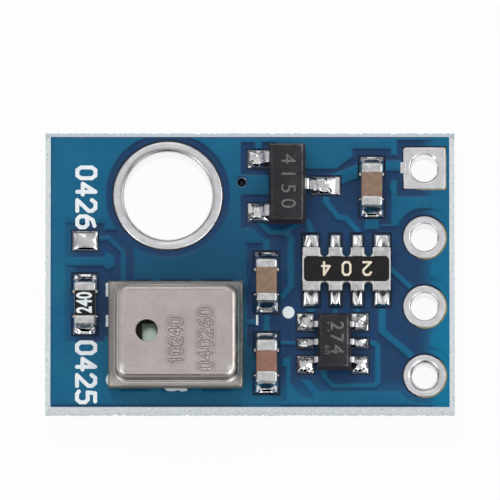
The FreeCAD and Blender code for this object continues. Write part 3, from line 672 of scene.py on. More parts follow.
def topTints(flat, overCopper):
    middle, outwards = lacquerRelief["middle"], lacquerRelief["outwards"]
    # painted reflection: over copper the lacquer pales from the middle outwards
    outwards = np.hypot((flat[:, 0] - middle[0]) / outwards[0], (flat[:, 1] - middle[1]) / outwards[1])
    # painted glow: a teal tint towards the near right corner
    x, width, y, depth = lacquerRelief["teal"]
    teal = smoothStep((flat[:, 0] - x) / width) * smoothStep((y - flat[:, 1]) / depth)
    reach = lacquerRelief["stepReach"]
    rise = maskHeight(flat + [0, reach]) - maskHeight(flat - [0, reach])
    step = lacquerRelief["stepShade"] * np.clip(rise / lacquerRelief["stepRise"], 0, 1)
    return {"copper": np.maximum(overCopper, thickLacquer(flat)), "outwards": smoothStep(outwards),
            "teal": teal, "step": step}


def makeLacquer():
    lacquerSheet("lacquerTop", "solder_mask_top", topCopper, maskLevel, lacquerRelief["edgeStep"],
                 maskHeight, lambda p: np.full(len(p), coreTop), topTints)


def makeUnderLacquer():
    low, high = boxOf("solder_mask_bottom")
    copper = copperOutline(["copper_pour_bottom"], boxOf("copper_pour_bottom")[0][2])

    def under(p):
        share = climbOver(signedCopper(p, copper), lacquerRelief["slope"])
        return low[2] + lacquerRelief["drop"] * (1 - share)

    def tints(flat, overCopper):
        return {"copper": overCopper, "outwards": np.full(len(flat), lacquerRelief["underOutwards"])}

    lacquerSheet("lacquerUnder", "solder_mask_bottom", copper, low[2], lacquerRelief["underStep"],
                 lambda p: np.full(len(p), high[2]), under, tints)


# The board: a ragged snapped rim round a plain drilled plate
edgeShape = {"around": 1500, "web": 0.62, "scored": 0.012, "inset": 0.42, "overlap": 0.1, "lip": 0.03,
             "sink": 0.002, "rows": 9, "drillsWithin": 0.05}


# The rim is loops round a rectangle, each set by how far out it lies, its height, and how far chips bite in
def makeBoard():
    halfX = (boardHigh - boardLow)[0] / 2
    faceX, faceY = (maskHigh - maskLow)[:2] / 2
    lean = halfX - faceX
    count = edgeShape["around"]
    side = np.arange(count) / count * 8
    x = np.interp(side, [0, 2, 4, 6, 8], [-1, 1, 1, -1, -1])
    y = np.interp(side, [0, 2, 4, 6, 8], [-1, -1, 1, 1, -1])
    bottom, top = boardLow[2], boardHigh[2]
    middle = (bottom + top) / 2
    web, inset, lip, sink = edgeShape["web"] / 2, edgeShape["inset"], edgeShape["lip"], edgeShape["sink"]
    rough = dice.normal(0, 1, (edgeShape["rows"], count))
    chips = np.abs((rough + np.roll(rough, 1, axis=1) + np.roll(rough, -1, axis=1)) / 2)
    profile = [
        (-inset, bottom + sink, 0), (-lip, bottom, 0), (0.0, bottom, 0.2),
        (lean * 0.5, bottom + (middle - web - bottom) / 2, 1),
        (lean, middle - web, 2), (lean, middle - web / 3, 4), (lean, middle + web / 3, 4),
        (lean, middle + web, 2), (lean * 0.5, top - (top - middle - web) / 2, 1),
        (0.0, top, 0.2), (-lip, top, 0), (-inset, top - sink, 0),
    ]
    loops = []
    for row, (out, z, amount) in enumerate(profile):
        bite = chips[row % edgeShape["rows"]] * amount * edgeShape["scored"]
        loops.append(levelLoop(np.column_stack([x * (faceX + out - bite), y * (faceY + out - bite)]), z))
    rim = loopShell(loops)

    points, edges = flatOutline("laminate", top)
    reach = np.abs(points[edges]).max(axis=1)
    drills = points[edges[np.all(reach < np.array([faceX, faceY]) - edgeShape["drillsWithin"], axis=1)]]
    inner = inset - edgeShape["overlap"]
    corners = np.array([[-1, -1], [1, -1], [1, 1], [-1, 1]]) * [faceX - inner, faceY - inner]
    outer = np.stack([corners, np.roll(corners, -1, axis=0)], axis=1)
    shell, flat = closedSheet(*mergedEnds(np.vstack([drills, outer])), [],
                              lambda p: np.full(len(p), top - sink / 2),
                              lambda p: np.full(len(p), bottom + sink / 2))
    # painted shade: the plate and the rim's covered rows are dark, seen only in the narrow gaps by the lands
    covered = np.repeat([float(out < 0) for out, z, amount in profile], count)
    # painted shade on the rim's far side, which leans away from the light
    atFar = (rim[0][:, 1] > faceY - 0.02).astype(float)
    plate = len(shell[0])
    values = {"inner": np.concatenate([covered, np.ones(plate)]),
              "far": np.concatenate([atFar, np.zeros(plate)])}
    addPiece("board", [rim, shell], "laminate", ["laminate"], 30, values)
    print("board made")


# Plated holes: a profile carried round the hole, soft at every corner like levelled tin, with a rippled top
holeShape = {
    "ring": {"dome": 0.040, "crown": 0.034, "shoulder": 0.48, "ripple": 0.010, "swell": 0.0, "turn": 192,
             "wall": 0.12},
    "eye": {"dome": 0.016, "crown": 0.018, "shoulder": 0.42, "ripple": 0.008, "swell": 0.0, "turn": 112,
            "wall": 0.2},
    "lastEye": {"dome": 0.045, "crown": 0.018, "shoulder": 0.46, "ripple": 0.010, "swell": 0.05, "turn": 112,
                "wall": 0.2},
}
holeFinish = {"squareReach": 1.36, "wobbleThree": 0.006, "wobbleFive": 0.004, "ripplePitch": 0.9,
              "shadeTowards": 125, "dull": (0.16, 0.5)}  # the ring's bevel carries painted shade, darkest at its upper left


def squareReach(angle, most):  # how much further a square's edge lies than a circle's, up to its cut corners
    return np.minimum(1 / np.maximum(np.abs(np.cos(angle)), np.abs(np.sin(angle))), most)


trackEnd = {"back": 0.11, "front": 0.1, "down": 0.2, "up": 0.22, "sink": 0.004, "edge": 0.02}


def platedHole(name, node, kind, square):
    low, high = boxOf(node)
    shape = holeShape[kind]
    dome, crown, shoulder, count = shape["dome"], shape["crown"], shape["shoulder"], shape["turn"]
    centre = (low + high)[:2] / 2
    landRadius = (high - low)[1] / 2
    points, corners = nodeTriangles(node)
    holeRadius = np.linalg.norm(points[:, :2] - centre, axis=1).min()
    angle = np.linspace(0, 2 * math.pi, count, endpoint=False)
    outline = np.full(count, landRadius)
    under = np.full(count, landRadius)
    if square:
        outline = landRadius * squareReach(angle, holeFinish["squareReach"])
        roundLow, roundHigh = boxOf("header_pad_2")
        under = np.full(count, (roundHigh - roundLow)[1] / 2)
    wobble = holeFinish["wobbleThree"] * np.sin(3 * angle + low[0])
    wobble = wobble + holeFinish["wobbleFive"] * np.sin(5 * angle + low[1] * 3)
    top, bottom = high[2], low[2]
    land = top - coreTop
    swell = -shape["swell"] / (landRadius - holeRadius)
    rows = [  # share of the way from the hole to the outline, height, and which outline
        (1.0, coreTop, outline), (1.0, top - crown - land * 0.4, outline),
        (0.965, top - crown * 0.95, outline), (0.90, top - crown * 0.6, outline),
        (0.78, top - crown * 0.15, outline), (0.65, top, outline), (0.5, top, outline),
        (shoulder, top - 0.002, outline), (shoulder * 0.62, top - dome * 0.35, outline),
        (shoulder * 0.3, top - dome, outline), (0.06 + swell * 0.7, top - dome * 2.2, outline),
        (swell, top - dome * 4, outline), (swell * 0.8, top - dome * 4 - 0.12, outline),
        (0.0, top - dome * 4 - 0.3, outline),
        (0.0, (top + bottom) / 2, under), (0.0, bottom + 0.05, under),
        (shoulder * 0.3, bottom + 0.012, under), (shoulder, bottom + 0.002, under),
        (0.6, bottom, under), (0.93, bottom + 0.003, under),
        (1.0, bottom + land * 0.5, under), (1.0, bottom + land, under),
        (shape["wall"], bottom + land + 0.01, under), (shape["wall"], coreTop - 0.01, under),
    ]
    loops = []
    for share, z, rim in rows:
        radius = holeRadius + (rim - holeRadius) * share + (wobble if 0.05 < share < 0.9 else 0)
        loop = circle(centre, radius, angle, z)
        if z > top - 0.004:
            swells = bumps(loop[:, 0], loop[:, 1], holeFinish["ripplePitch"], 1.0 + low[1])
            loop[:, 2] += shape["ripple"] * (swells - 1)
        loops.append(loop)
    # painted reflection: the barrel's wall is painted near white, as it would mirror the white paper below
    inBarrel = [float(top - dome * 5 > z > bottom + 0.02 and share < 0.01) for share, z, rim in rows]
    # painted shade on the ring's bevel, darkest towards its upper left
    onBevel = [float(kind == "ring" and 0.05 < share < shoulder * 0.7 and z > coreTop)
               for share, z, rim in rows]
    least, more = holeFinish["dull"]
    shade = least + more * np.clip(np.cos(angle - math.radians(holeFinish["shadeTowards"])), 0, 1)
    paintedSheen, crease = np.repeat(inBarrel, count), np.outer(onBevel, shade).ravel()
    shells = [loopShell(loops)]
    if square:  # with the end of its track
        start = [centre[0] - landRadius - trackEnd["back"], centre[1] - trackEnd["down"], coreTop]
        end = [centre[0] - landRadius + trackEnd["front"], centre[1] + trackEnd["up"], top - trackEnd["sink"]]
        shells.append(roundBlock(start, end, trackEnd["edge"], 3))
        plain = np.zeros(len(shells[1][0]))
        paintedSheen, crease = np.concatenate([paintedSheen, plain]), np.concatenate([crease, plain])
    addPiece(name, shells, "plating", [node], 50, {"paintedSheen": paintedSheen, "crease": crease})


giltRim = {"inner": -0.02, "outer": 0.058, "from": -115.0, "to": 55.0, "rise": 0.022, "steps": 60,
           "taper": 0.35, "squareReach": 1.38}


# A thin golden sliver beside each header land, on its near and right side: an arc whose width grows and
# shrinks as a power of a sine along it
def giltSliver(name, node, square):
    low, high = boxOf(node)
    share = np.linspace(0, 1, giltRim["steps"])
    angle = np.radians(giltRim["from"] + (giltRim["to"] - giltRim["from"]) * share)
    stretch = squareReach(angle, giltRim["squareReach"]) if square else np.ones(len(angle))
    width = (giltRim["outer"] - giltRim["inner"]) * np.sin(math.pi * share) ** giltRim["taper"]
    crest = coreTop + giltRim["rise"]
    inner = ((high - low)[1] / 2 + giltRim["inner"]) * stretch
    loops = [circle((low + high)[:2] / 2, inner + width * across, angle, z)
             for across, z in ((0, coreTop), (0, crest), (1, crest), (1, coreTop))]
    addPiece(name, [cappedShell(np.stack(loops, axis=1))], "brass")


def makePlatedHoles():
    platedHole("mountingRing", "fixing_hole_plating", "ring", False)
    for number in range(1, 5):
        node = "header_pad_" + str(number)
        platedHole("headerEye" + str(number), node, "lastEye" if number == 4 else "eye", number == 1)
        giltSliver("giltSliver" + str(number), node, number == 1)
    print("plated holes made")


viaShape = {
    "turn": 40, "collar": 0.176, "collarTurn": 8, "bead": (0.011, 0.008), "sink": 0.003,
    "bowl": [(0.002, 0.20), (0.06, 0.17), (0.11, 0.10), (0.15, 0.03), (0.158, 0.02), (0.158, 0.3),
             (0.002, 0.35)],
    "glint": [0.9, 0.15, 0, 0, 0, 0, 0], "spark": (0.83, 0.32, 0.85),  # the painted highlight's direction, width and strength
}


# A sunken plug of lacquer closes the via: loops by radius and depth, a shallow bowl with a painted faint
# light at its bottom. The collar is a ring of round section, with a painted highlight at its upper right
def makeViaPlug():
    centre = middleOf("via_plating")[:2]
    angle = np.linspace(0, 2 * math.pi, viaShape["turn"], endpoint=False)
    loops = [circle(centre, radius, angle, foilTop - drop) for radius, drop in viaShape["bowl"]]
    glint = np.repeat(viaShape["glint"], len(angle))
    addPiece("viaPlug", [cappedShell(loops)], "plug", attributes={"paintedGlint": glint})
    across, upward = viaShape["bead"]
    loops = [circle(centre, viaShape["collar"] + across * math.cos(turn), angle,
                    maskLevel - viaShape["sink"] + upward * math.sin(turn))
             for turn in np.linspace(0, 2 * math.pi, viaShape["collarTurn"], endpoint=False)]
    towards, width, strength = viaShape["spark"]
    spark = np.tile(strength * np.exp(-((angle - towards) / width) ** 2), len(loops))
    addPiece("viaCollar", [loopShell(loops)], "collar", attributes={"paintedSheen": spark})


# An outline moved outwards: each point goes along the mean of its two edges' outward directions
def grown(points, edges, amount):
    segments = points[edges]
    way = segments[:, 1] - segments[:, 0]
    way = way / np.linalg.norm(way, axis=1)[:, None]
    out = np.column_stack([way[:, 1], -way[:, 0]])
    inward = insideOf(segments.mean(axis=1) + out * 0.002, segments)
    out[inward] *= -1
    total = np.zeros_like(points)
    np.add.at(total, edges[:, 0], out)
    np.add.at(total, edges[:, 1], out)
    size = np.maximum(np.linalg.norm(total, axis=1), 0.7)
    return points + total / size[:, None] * amount[:, None]


inkEdges = {
    "bold": 0.002, "labelsBelow": -5.2, "edgeStep": 0.12, "gridStep": 0.12, "clear": 0.03, "sink": 0.002,
    "smear": {"rise": 0.02, "wave": 0.06, "pitch": 0.3, "right": 0.04, "start": 1, "clear": 0.05},
    "bits": {"right": 0.035, "wave": 0.02, "pitch": 0.25, "half": (0.15, 2.1), "left": 0.1, "middle": 2,
             "middleHalf": 0.8, "middleRise": 0.22, "lastBelow": 1, "bow": 0.10, "bowReach": 0.22},
}


# White ink follows the lacquer's relief. The smear below the can waves along its edge, the bits at its left
# stand a little apart, and the last one bows by the squared way from its middle
def makeInk():
    low, high = boxOf("silkscreen_top")
    points, edges = dividedOutline("silkscreen_top", high[2], inkEdges["edgeStep"])
    thick = high[2] - low[2]
    sensorLow, sensorHigh = boxOf("sensor_carrier")
    label = points[:, 0] < inkEdges["labelsBelow"]
    points = grown(points, edges, np.where(label, inkEdges["bold"], 0.0))
    shape = inkEdges["smear"]
    smear = points[:, 1] < sensorLow[1] - shape["clear"]
    smear = smear & (points[:, 0] > sensorLow[0] + shape["start"]) & (points[:, 0] < sensorHigh[0])
    points[smear, 1] += shape["wave"] * bumps(points[smear, 0], 0, shape["pitch"], 2.0) + shape["rise"]
    points[smear, 0] += shape["right"]
    shape = inkEdges["bits"]
    fromMiddle = np.abs(points[:, 1] - sensorLow[1] - shape["middle"])
    beside = np.abs(points[:, 0] - sensorLow[0] + shape["left"]) < shape["half"][0]
    bits = beside & (fromMiddle < shape["half"][1])
    points[bits, 0] += shape["right"] + shape["wave"] * bumps(points[bits, 1], 0, shape["pitch"], 1.0)
    points[bits & (fromMiddle < shape["middleHalf"]), 1] += shape["middleRise"]
    last = bits & (points[:, 1] < sensorLow[1] + shape["lastBelow"])
    reach = (points[last, 1] - points[last, 1].mean()) / shape["bowReach"]
    points[last, 0] += shape["bow"] * reach ** 2
    loose = looseWithin(gridPoints(low, high, inkEdges["gridStep"]), points[edges], inkEdges["clear"])
    shell, flat = closedSheet(points, edges, loose, lambda p: maskHeight(p) + thick,
                              lambda p: maskHeight(p) - inkEdges["sink"])
    addPiece("inkTop", [shell], "ink", ["silkscreen_top"], 40)
    print("ink made")


# The can: every ring of its section runs once round, from the flange over the lid to the vent and back inside
canShape = {"flange": 0.12, "flangeCorner": 0.10, "lidX": 2.185, "lidY": 1.71, "shiftX": 0.03,
            "lidCorner": 0.42, "round": 0.21, "wall": 0.12, "foot": 0.11, "vent": 0.40, "ventX": -1.08,
            "ventLip": 0.03, "straight": 74, "arc": 12, "topRows": 180, "footRows": 7, "roundRows": 9,
            "dome": 0.012, "domeEase": 6, "stampEase": 8, "lidSink": 0.014,
            "carrierEdge": 0.03, "chipEdge": 0.02}
canFinish = {
    # painted highlights on the lid's near left and right corners: their places, reach and strength
    "paintedHighlight": [(-2.00, -1.38), (1.97, -1.42)], "highlightReach": (0.09, 0.15), "strength": 1.3,
    "paintedGlint": {"reach": 0.026, "below": 0.05, "pitch": 0.22, "seed": 7, "most": 0.7, "gain": 1.4},
    "side": (0.25, 0.3),  # how far in from the lid's edge a side begins, and over what width
    "flangeLess": (0.62, 0.35, 0.3),  # how much less of the flange's dark tint lies on the near, left and far sides: painted shade that varies by side
    "leftLess": 0.7, "climb": [[0.8], [0.5], [0.2]], "paintedShade": 0.9,
    "brightFoot": [[0.15], [0.15], [0.35], [0.75], [0.9], [0.9], [0.6]],
}
canMarks = {
    "depth": 0.012, "stroke": 0.026, "soft": 0.030, "halo": 0.004, "haloGap": 0.125, "haloWidth": 0.028,
    "shadeWidth": 0.020, "haloShade": 0.35, "haloShift": 0.012, "narrow": 0.85,
    "columns": [  # plain digits that read upwards: first corner, height and pitch
        {"text": "10240", "x": 0.20, "y": -1.22, "height": 0.46, "pitch": 0.35},
        {"text": "040260", "x": 1.29, "y": -1.42, "height": 0.48, "pitch": 0.39},
    ],
}
digitStrokes = {  # in a cell 0.6 wide and 1 high
    "0": [(0.15, 0), (0.45, 0), (0.6, 0.2), (0.6, 0.8), (0.45, 1), (0.15, 1), (0, 0.8), (0, 0.2), (0.15, 0)],
    "1": [(0.15, 0.8), (0.35, 1), (0.35, 0)],
    "2": [(0, 0.8), (0.15, 1), (0.45, 1), (0.6, 0.8), (0.6, 0.62), (0, 0), (0.6, 0)],
    "4": [(0.45, 0), (0.45, 1), (0, 0.3), (0.6, 0.3)],
    "6": [(0.5, 1), (0.15, 0.8), (0, 0.4), (0, 0.2), (0.15, 0), (0.45, 0), (0.6, 0.2), (0.6, 0.4),
          (0.4, 0.55), (0, 0.4)],
}


def stampSegments():
    segments = []
    for column in canMarks["columns"]:
        for place, digit in enumerate(column["text"]):
            line = np.array(digitStrokes[digit]) * column["height"]
            upward = column["y"] + place * column["pitch"] + line[:, 0] * canMarks["narrow"]
            turned = np.column_stack([column["x"] - line[:, 1], upward])
            segments.append(np.stack([turned[:-1], turned[1:]], axis=1))
    return np.vstack(segments)


def hump(distance, width):  # a bell: the exponential of minus the squared share
    return np.exp(-(distance / width) ** 2)


# Pressed digits: full depth within a stroke, easing out beside it, and a low ridge a little way off, with
# painted shade along each stroke's edge and beside the ridge
def stampAt(flat, segments):
    reach = distanceTo(flat, segments)
    groove = -canMarks["depth"] * smoothStep(1 - (reach - canMarks["stroke"]) / canMarks["soft"])
    ridge = hump(reach - canMarks["haloGap"], canMarks["haloWidth"])
    paintedShade = hump(reach - canMarks["stroke"] - canMarks["soft"] * 0.5, canMarks["shadeWidth"])
    outline = hump(reach - canMarks["haloGap"] - canMarks["haloShift"], canMarks["shadeWidth"])
    return groove + canMarks["halo"] * ridge, np.clip(paintedShade + canMarks["haloShade"] * outline, 0, 1)


def canRings(centre, flangeHalf, bottom, top, segments):  # the can's loops, and the painted shade on each point
    (flangeX, flangeY), lidX, lidY = flangeHalf, canShape["lidX"], canShape["lidY"]
    bend, foot, wall, vent = canShape["round"], canShape["foot"], canShape["wall"], canShape["vent"]
    corner, lidCorner = canShape["flangeCorner"], canShape["lidCorner"]
    shelf = bottom + canShape["flange"]

    def ring(halfX, halfY, radius, z, shift=0.0):
        loop = roundedLoop(halfX, halfY, radius, canShape["straight"], canShape["arc"])
        return levelLoop(loop + centre - [shift, 0], z)

    loops = []
    flange = [(0.02, bottom), (0, bottom + 0.02), (0, shelf - 0.03), (0.012, shelf - 0.008), (0.04, shelf)]
    for inset, z in flange:
        loops.append(ring(flangeX - inset, flangeY - inset, corner, z, canShape["shiftX"]))
    for angle in np.linspace(0, math.pi / 2, canShape["footRows"]):
        out = foot * (1 - math.sin(angle))
        loops.append(ring(lidX + out, lidY + out, lidCorner + out, shelf + foot * (1 - math.cos(angle))))
    for angle in np.linspace(0, math.pi / 2, canShape["roundRows"]):
        inward = bend * (1 - math.cos(angle))
        rise = top - bend + bend * math.sin(angle)
        loops.append(ring(lidX - inward, lidY - inward, lidCorner - inward, rise))
    edge = loops[-1][:, :2]
    ventCentre = centre + [canShape["ventX"], 0]
    spoke = edge - ventCentre
    spoke = spoke / np.linalg.norm(spoke, axis=1)[:, None]
    ventEdge = ventCentre + spoke * (vent + canShape["ventLip"])
    shadeRows = [np.zeros((len(loops), len(edge)))]
    for share in np.linspace(0, 1, canShape["topRows"])[1:]:
        flat = edge + (ventEdge - edge) * share
        local = flat - centre
        dome = -canShape["dome"] * ((local[:, 0] / lidX) ** 2 + (local[:, 1] / lidY) ** 2)
        dome = dome * smoothStep(share * canShape["domeEase"])
        stamp, paintedShade = stampAt(local, segments)
        shadeRows.append(paintedShade[None, :])
        stamp = stamp * smoothStep(share * canShape["stampEase"])
        height = top - canShape["lidSink"] + dome + stamp
        loops.append(levelLoop(flat, np.minimum(height, top)))
    for out, drop in ((0.008, 0.010), (0.0, 0.035), (0.0, wall)):
        loops.append(levelLoop(ventCentre + spoke * (vent + out), top - drop))
    for inset, z in ((wall + 0.1, top - wall), (wall, top - wall - 0.1), (wall, bottom)):
        loops.append(ring(lidX - inset, lidY - inset, lidCorner - inset, z))
    shadeRows = np.vstack(shadeRows)
    return np.array(loops), np.vstack([shadeRows, np.zeros((len(loops) - len(shadeRows), len(edge)))])


# A dark greenish tint on the flange, whose strength by side is painted shade, and painted highlights on the
# lid's near corners, along the stamped strokes and on the near foot: shares on the can's rows, for the near,
# left and far sides
def canTints(loops, shadeRows, centre, segments, top):
    spread = loops[..., :2] - centre
    reachX, reachY = canFinish["highlightReach"]
    paintedHighlight = sum(np.exp(-((spread[..., 0] - x) / reachX) ** 2 - ((spread[..., 1] - y) / reachY) ** 2)
                 for x, y in canFinish["paintedHighlight"])
    # painted glints in patches along the stamped strokes on the lid
    paintedGlint = canFinish["paintedGlint"]
    onStroke = hump(distanceTo(spread.reshape(-1, 2), segments), paintedGlint["reach"]).reshape(paintedHighlight.shape)
    patches = bumps(spread[..., 0], spread[..., 1], paintedGlint["pitch"], paintedGlint["seed"])
    onLid = loops[..., 2] > top - paintedGlint["below"]
    paintedHighlight = paintedHighlight + onStroke * onLid * np.clip(paintedGlint["gain"] * patches, 0, paintedGlint["most"])
    start, width = canFinish["side"]
    near = smoothStep((-spread[..., 1] - canShape["lidY"] + start) / width)
    left = smoothStep((-spread[..., 0] - canShape["lidX"] + start) / width)
    far = smoothStep((spread[..., 1] - canShape["lidY"] + start) / width)
    nearLess, leftLess, farLess = canFinish["flangeLess"]
    flange = np.zeros(near.shape)
    flange[:6] = (1.0 - nearLess * near - leftLess * left - farLess * far)[:6]
    upper = (1.0 - near) * (1.0 - canFinish["leftLess"] * left)
    flange[6:12] = upper[6:12]
    flange[12:15] = canFinish["climb"] * upper[12:15]
    shadeRows[11:16] = canFinish["paintedShade"] * near[11:16]  # a painted dark line of shade under the lid's near edge
    paintedHighlight[5:12] += canFinish["brightFoot"] * near[5:12]  # and a painted highlight on the foot below it
    values = {"flange": flange, "paintedShade": shadeRows, "paintedHighlight": paintedHighlight * canFinish["strength"]}
    return {key: np.clip(value, 0, 1).ravel() for key, value in values.items()}


def makeCan():
    low, high = boxOf("sensor_can")
    centre = (low + high)[:2] / 2 + [canShape["shiftX"], 0]
    segments = stampSegments()
    loops, shadeRows = canRings(centre, (high - low)[:2] / 2, low[2], high[2], segments)
    values = canTints(loops, shadeRows, centre, segments, high[2])
    addPiece("can", [loopShell(loops)], "can", ["sensor_can"], 60, values)
    carrier = roundBlock(*boxOf("sensor_carrier"), canShape["carrierEdge"], 3)
    chip = roundBlock(*boxOf("sensing_chip"), canShape["chipEdge"], 2)
    addPiece("carrier", [carrier], "carrier", ["sensor_carrier"])
    addPiece("sensingChip", [chip], "silicon", ["sensing_chip"])
    print("sensor made")


# Chip parts: a ceramic block, rounded metal ends and a hollow fillet of solder at each end
chipShape = {"edge": 0.06, "endEdge": 0.10, "endLumps": 0.02, "recess": 0.02, "bodyInset": 0.1,
             "bowReach": 0.12, "fillet": 0.60, "hollow": 2.3, "beads": 0.13, "beadWidth": 0.10,
             "beadInset": 0.10, "beadSpread": 0.4, "foot": 0.04, "lump": 0.014, "lumpPitch": 0.7,
             "under": 0.3, "rimSoft": 0.12, "rimPower": 8, "sidePower": 5, "sideDrop": 0.8}
# where the painted dark reflection lies in each fillet's hollow
chipDark = {"share": 0.8, "across": 0.66, "along": 0.62, "soft": 0.3, "wave": 0.22, "pitch": 0.36}
chipParts = {  # how far the ceramic shows each side of the middle, how far its metal edges bow, and the looks
    "capacitor_1": {"piece": "firstCapacitor", "shows": 0.40, "bows": (0.0, 0.04), "ceramic": "tanCeramic",
                    "slot": "brown_ceramic", "seed": 1},
    "capacitor_2": {"piece": "secondCapacitor", "shows": 0.42, "bows": (0.0, -0.06), "ceramic": "tanCeramic",
                    "slot": "brown_ceramic", "seed": 4},
    "capacitor_3": {"piece": "thirdCapacitor", "shows": 0.34, "bows": (0.06, 0.0), "ceramic": "redCeramic",
                    "slot": "brown_ceramic", "seed": 7},
    "address_resistor": {"piece": "addressResistor", "shows": 0.44, "bows": (0.0, 0.0), "ceramic": "alumina",
                         "slot": "white_ceramic", "seed": 11},
}


# Hollow slope from the chip's end face to the land's end, its height falling as a power of the way, with a
# bead of solder swelling near each outer corner and a soft raised foot round the rim
def filletHeight(near, far, crest, seed):
    def heightAt(u, v, x, y):
        share = np.clip((y - near) / (far - near), 0, 1)
        hollow = (1 - share) ** chipShape["hollow"]
        side = 1 - np.abs(u) ** chipShape["sidePower"] * chipShape["sideDrop"]
        rim = smoothStep((1 - share) / chipShape["rimSoft"]) * (1 - np.abs(u) ** chipShape["rimPower"])
        rim = np.sqrt(np.clip(rim, 0, 1))
        lump = chipShape["lump"] * bumps(x, y, chipShape["lumpPitch"], seed) * rim
        across = (1 - np.abs(u)) * (x.max() - x.min()) / 2 - chipShape["beadInset"]
        along = (1 - share) * abs(far - near) - chipShape["beadInset"]
        bead = np.exp(-(across ** 2 + along ** 2) / chipShape["beadWidth"] ** 2)
        spread = chipShape["beadSpread"]
        strength = np.where(u < 0, 1 + spread * math.sin(seed * 2.1), 1 + spread * math.cos(seed * 1.7))
        height = crest * hollow * side + chipShape["foot"] * rim + lump
        height = height + chipShape["beads"] * strength * bead * rim
        return np.maximum(seat + height, seat - bedLeast)
    return heightAt


# One cushion for each end of a part. Its shares run from the part's end face to the land's end, and from side
# to side
def endCushions(islandBoxes, middle, nearOf, under, heightOf, size):
    cushions = []
    for number, (low, high) in enumerate(islandBoxes):
        outer = low[1] > middle
        near = nearOf(low, high, outer)
        far = high[1] if outer else low[1]
        inner = near - under if outer else near + under
        shell = cushion([low[0], min(inner, far)], [high[0], max(inner, far)], seat - bed,
                        heightOf(near, far, outer, number), *size)
        share = (shell[0][:, 1] - near) / (far - near)
        across = (shell[0][:, 0] - (low + high)[0] / 2) / (high - low)[0] * 2
        cushions.append((number, outer, shell, share, across))
    return cushions


def chipSolder(name, node, chipLow, chipHigh, seed):  # each hollow is painted dark as a painted dark reflection, its rim and beads bright
    crest = (chipHigh[2] - chipLow[2]) * chipShape["fillet"]

    def nearOf(low, high, outer):
        return chipHigh[1] if outer else chipLow[1]

    def heightOf(near, far, outer, number):
        return filletHeight(near, far, crest, seed + number)

    shells = []
    creases = []
    middle = (chipLow[1] + chipHigh[1]) / 2
    cushions = endCushions(islands(node), middle, nearOf, chipShape["under"], heightOf, (44, 40))
    for number, outer, shell, share, across in cushions:
        shells.append(shell)
        wavy = chipDark["wave"] * bumps(shell[0][:, 0], shell[0][:, 1], chipDark["pitch"], seed + number)
        sideways = smoothStep((chipDark["across"] + wavy - np.abs(across)) / chipDark["soft"])
        lengthways = smoothStep((chipDark["along"] + wavy - share) / chipDark["soft"])
        creases.append(chipDark["share"] * sideways * lengthways)
    addPiece(name, shells, "solder", [node], 70, {"crease": np.concatenate(creases)})


# A metal end: a round-edged block whose inner edge bows along its middle by a share of the squared way across
def metalEnd(low, high, inner, outward, bow):
    low, high = np.array(low), np.array(high)
    (low if outward > 0 else high)[1] = inner
    points, faces = roundBlock(low, high, chipShape["endEdge"], 6, chipShape["endLumps"])
    across = (points[:, 0] - (low + high)[0] / 2) / ((high - low)[0] / 2)
    nearInner = 1 - np.clip(np.abs(points[:, 1] - inner) / chipShape["bowReach"], 0, 1)
    points[:, 1] -= outward * bow * (1 - across ** 2) * nearInner
    return points, faces


def makeChip(node):
    shape = chipParts[node]
    low, high = boxOf(node + "_ends")
    middle = (low + high)[1] / 2
    ends = [metalEnd(low, high, middle + way * shape["shows"], way, bow)
            for way, bow in zip((1, -1), shape["bows"])]
    inset = np.array([chipShape["recess"], chipShape["bodyInset"], chipShape["recess"]])
    body = roundBlock(low + inset, high - inset, chipShape["edge"], 5)
    addPiece(shape["piece"] + "Ceramic", [body], shape["ceramic"], [node + "_ceramic"])
    addPiece(shape["piece"] + "Ends", ends, "leads", [node + "_ends"], 60)
    chipSolder(shape["piece"] + "Solder", node + "_solder", low, high, shape["seed"])


addressCoat = {"low": (-0.01, 0.02, 0.02), "high": (-0.01, 0.02, 0), "edge": 0.025}  # how far past its node


def makeChips():
    for node in chipParts:
        makeChip(node)
    low, high = boxOf("address_resistor_coat")
    block = roundBlock(low - addressCoat["low"], high + addressCoat["high"], addressCoat["edge"], 3)
    addPiece("addressCoat", [block], "coat", ["address_resistor_coat"])
    printedDigits("addressCode")
    print("chips made")


arrayShape = {"endEdge": 0.035, "coatCorner": 0.14, "coatSide": 24, "coatArc": 8, "under": 0.25,
              "coat": [(0.0, -0.018), (0.012, -0.004), (0.05, 0.0)]}  # inset and height below the coat's top
toothShape = {"outerCrest": 0.16, "innerCrest": 0.26, "base": 0.10, "groove": 0.13, "lump": 0.010, "seed": 20,
              "fall": 1.1, "grooveFall": 1.2, "grooveWidth": (0.12, 0.55), "grooveLean": 0.15,
              "rimSoft": 0.15, "rimPower": 6}
# where the painted dark reflection lies in each tooth's groove, and the dark seam by the metal end
toothDark = {"wave": 0.1, "pitch": 0.4, "outer": (0.35, 0.8), "inner": (0.15, 0.95),
             "along": (0.55, 0.85, 0.22), "seam": (0.16, 0.3, 0.08, 0.85)}


# Solder drawn out from an array end like a tooth: two lobes along it, with a groove that ends at the toe
def toothHeight(near, far, crest, seed):
    def heightAt(u, v, x, y):
        share = np.clip((y - near) / (far - near), 0, 1)
        rim = smoothStep((1 - share) / toothShape["rimSoft"]) * (1 - np.abs(u) ** toothShape["rimPower"])
        rim = np.sqrt(np.clip(rim, 0, 1))
        slope = crest * (1 - share) ** toothShape["fall"]
        least, more = toothShape["grooveWidth"]
        groove = hump(u - toothShape["grooveLean"] * math.sin(seed), more * (1 - share) + least)
        groove = groove * (1 - share) ** toothShape["grooveFall"]
        lump = toothShape["lump"] * math.sin(seed * 2) * u
        height = toothShape["base"] + slope - toothShape["groove"] * groove + lump
        return np.maximum(seat + rim * height, seat - bedLeast)
    return heightAt


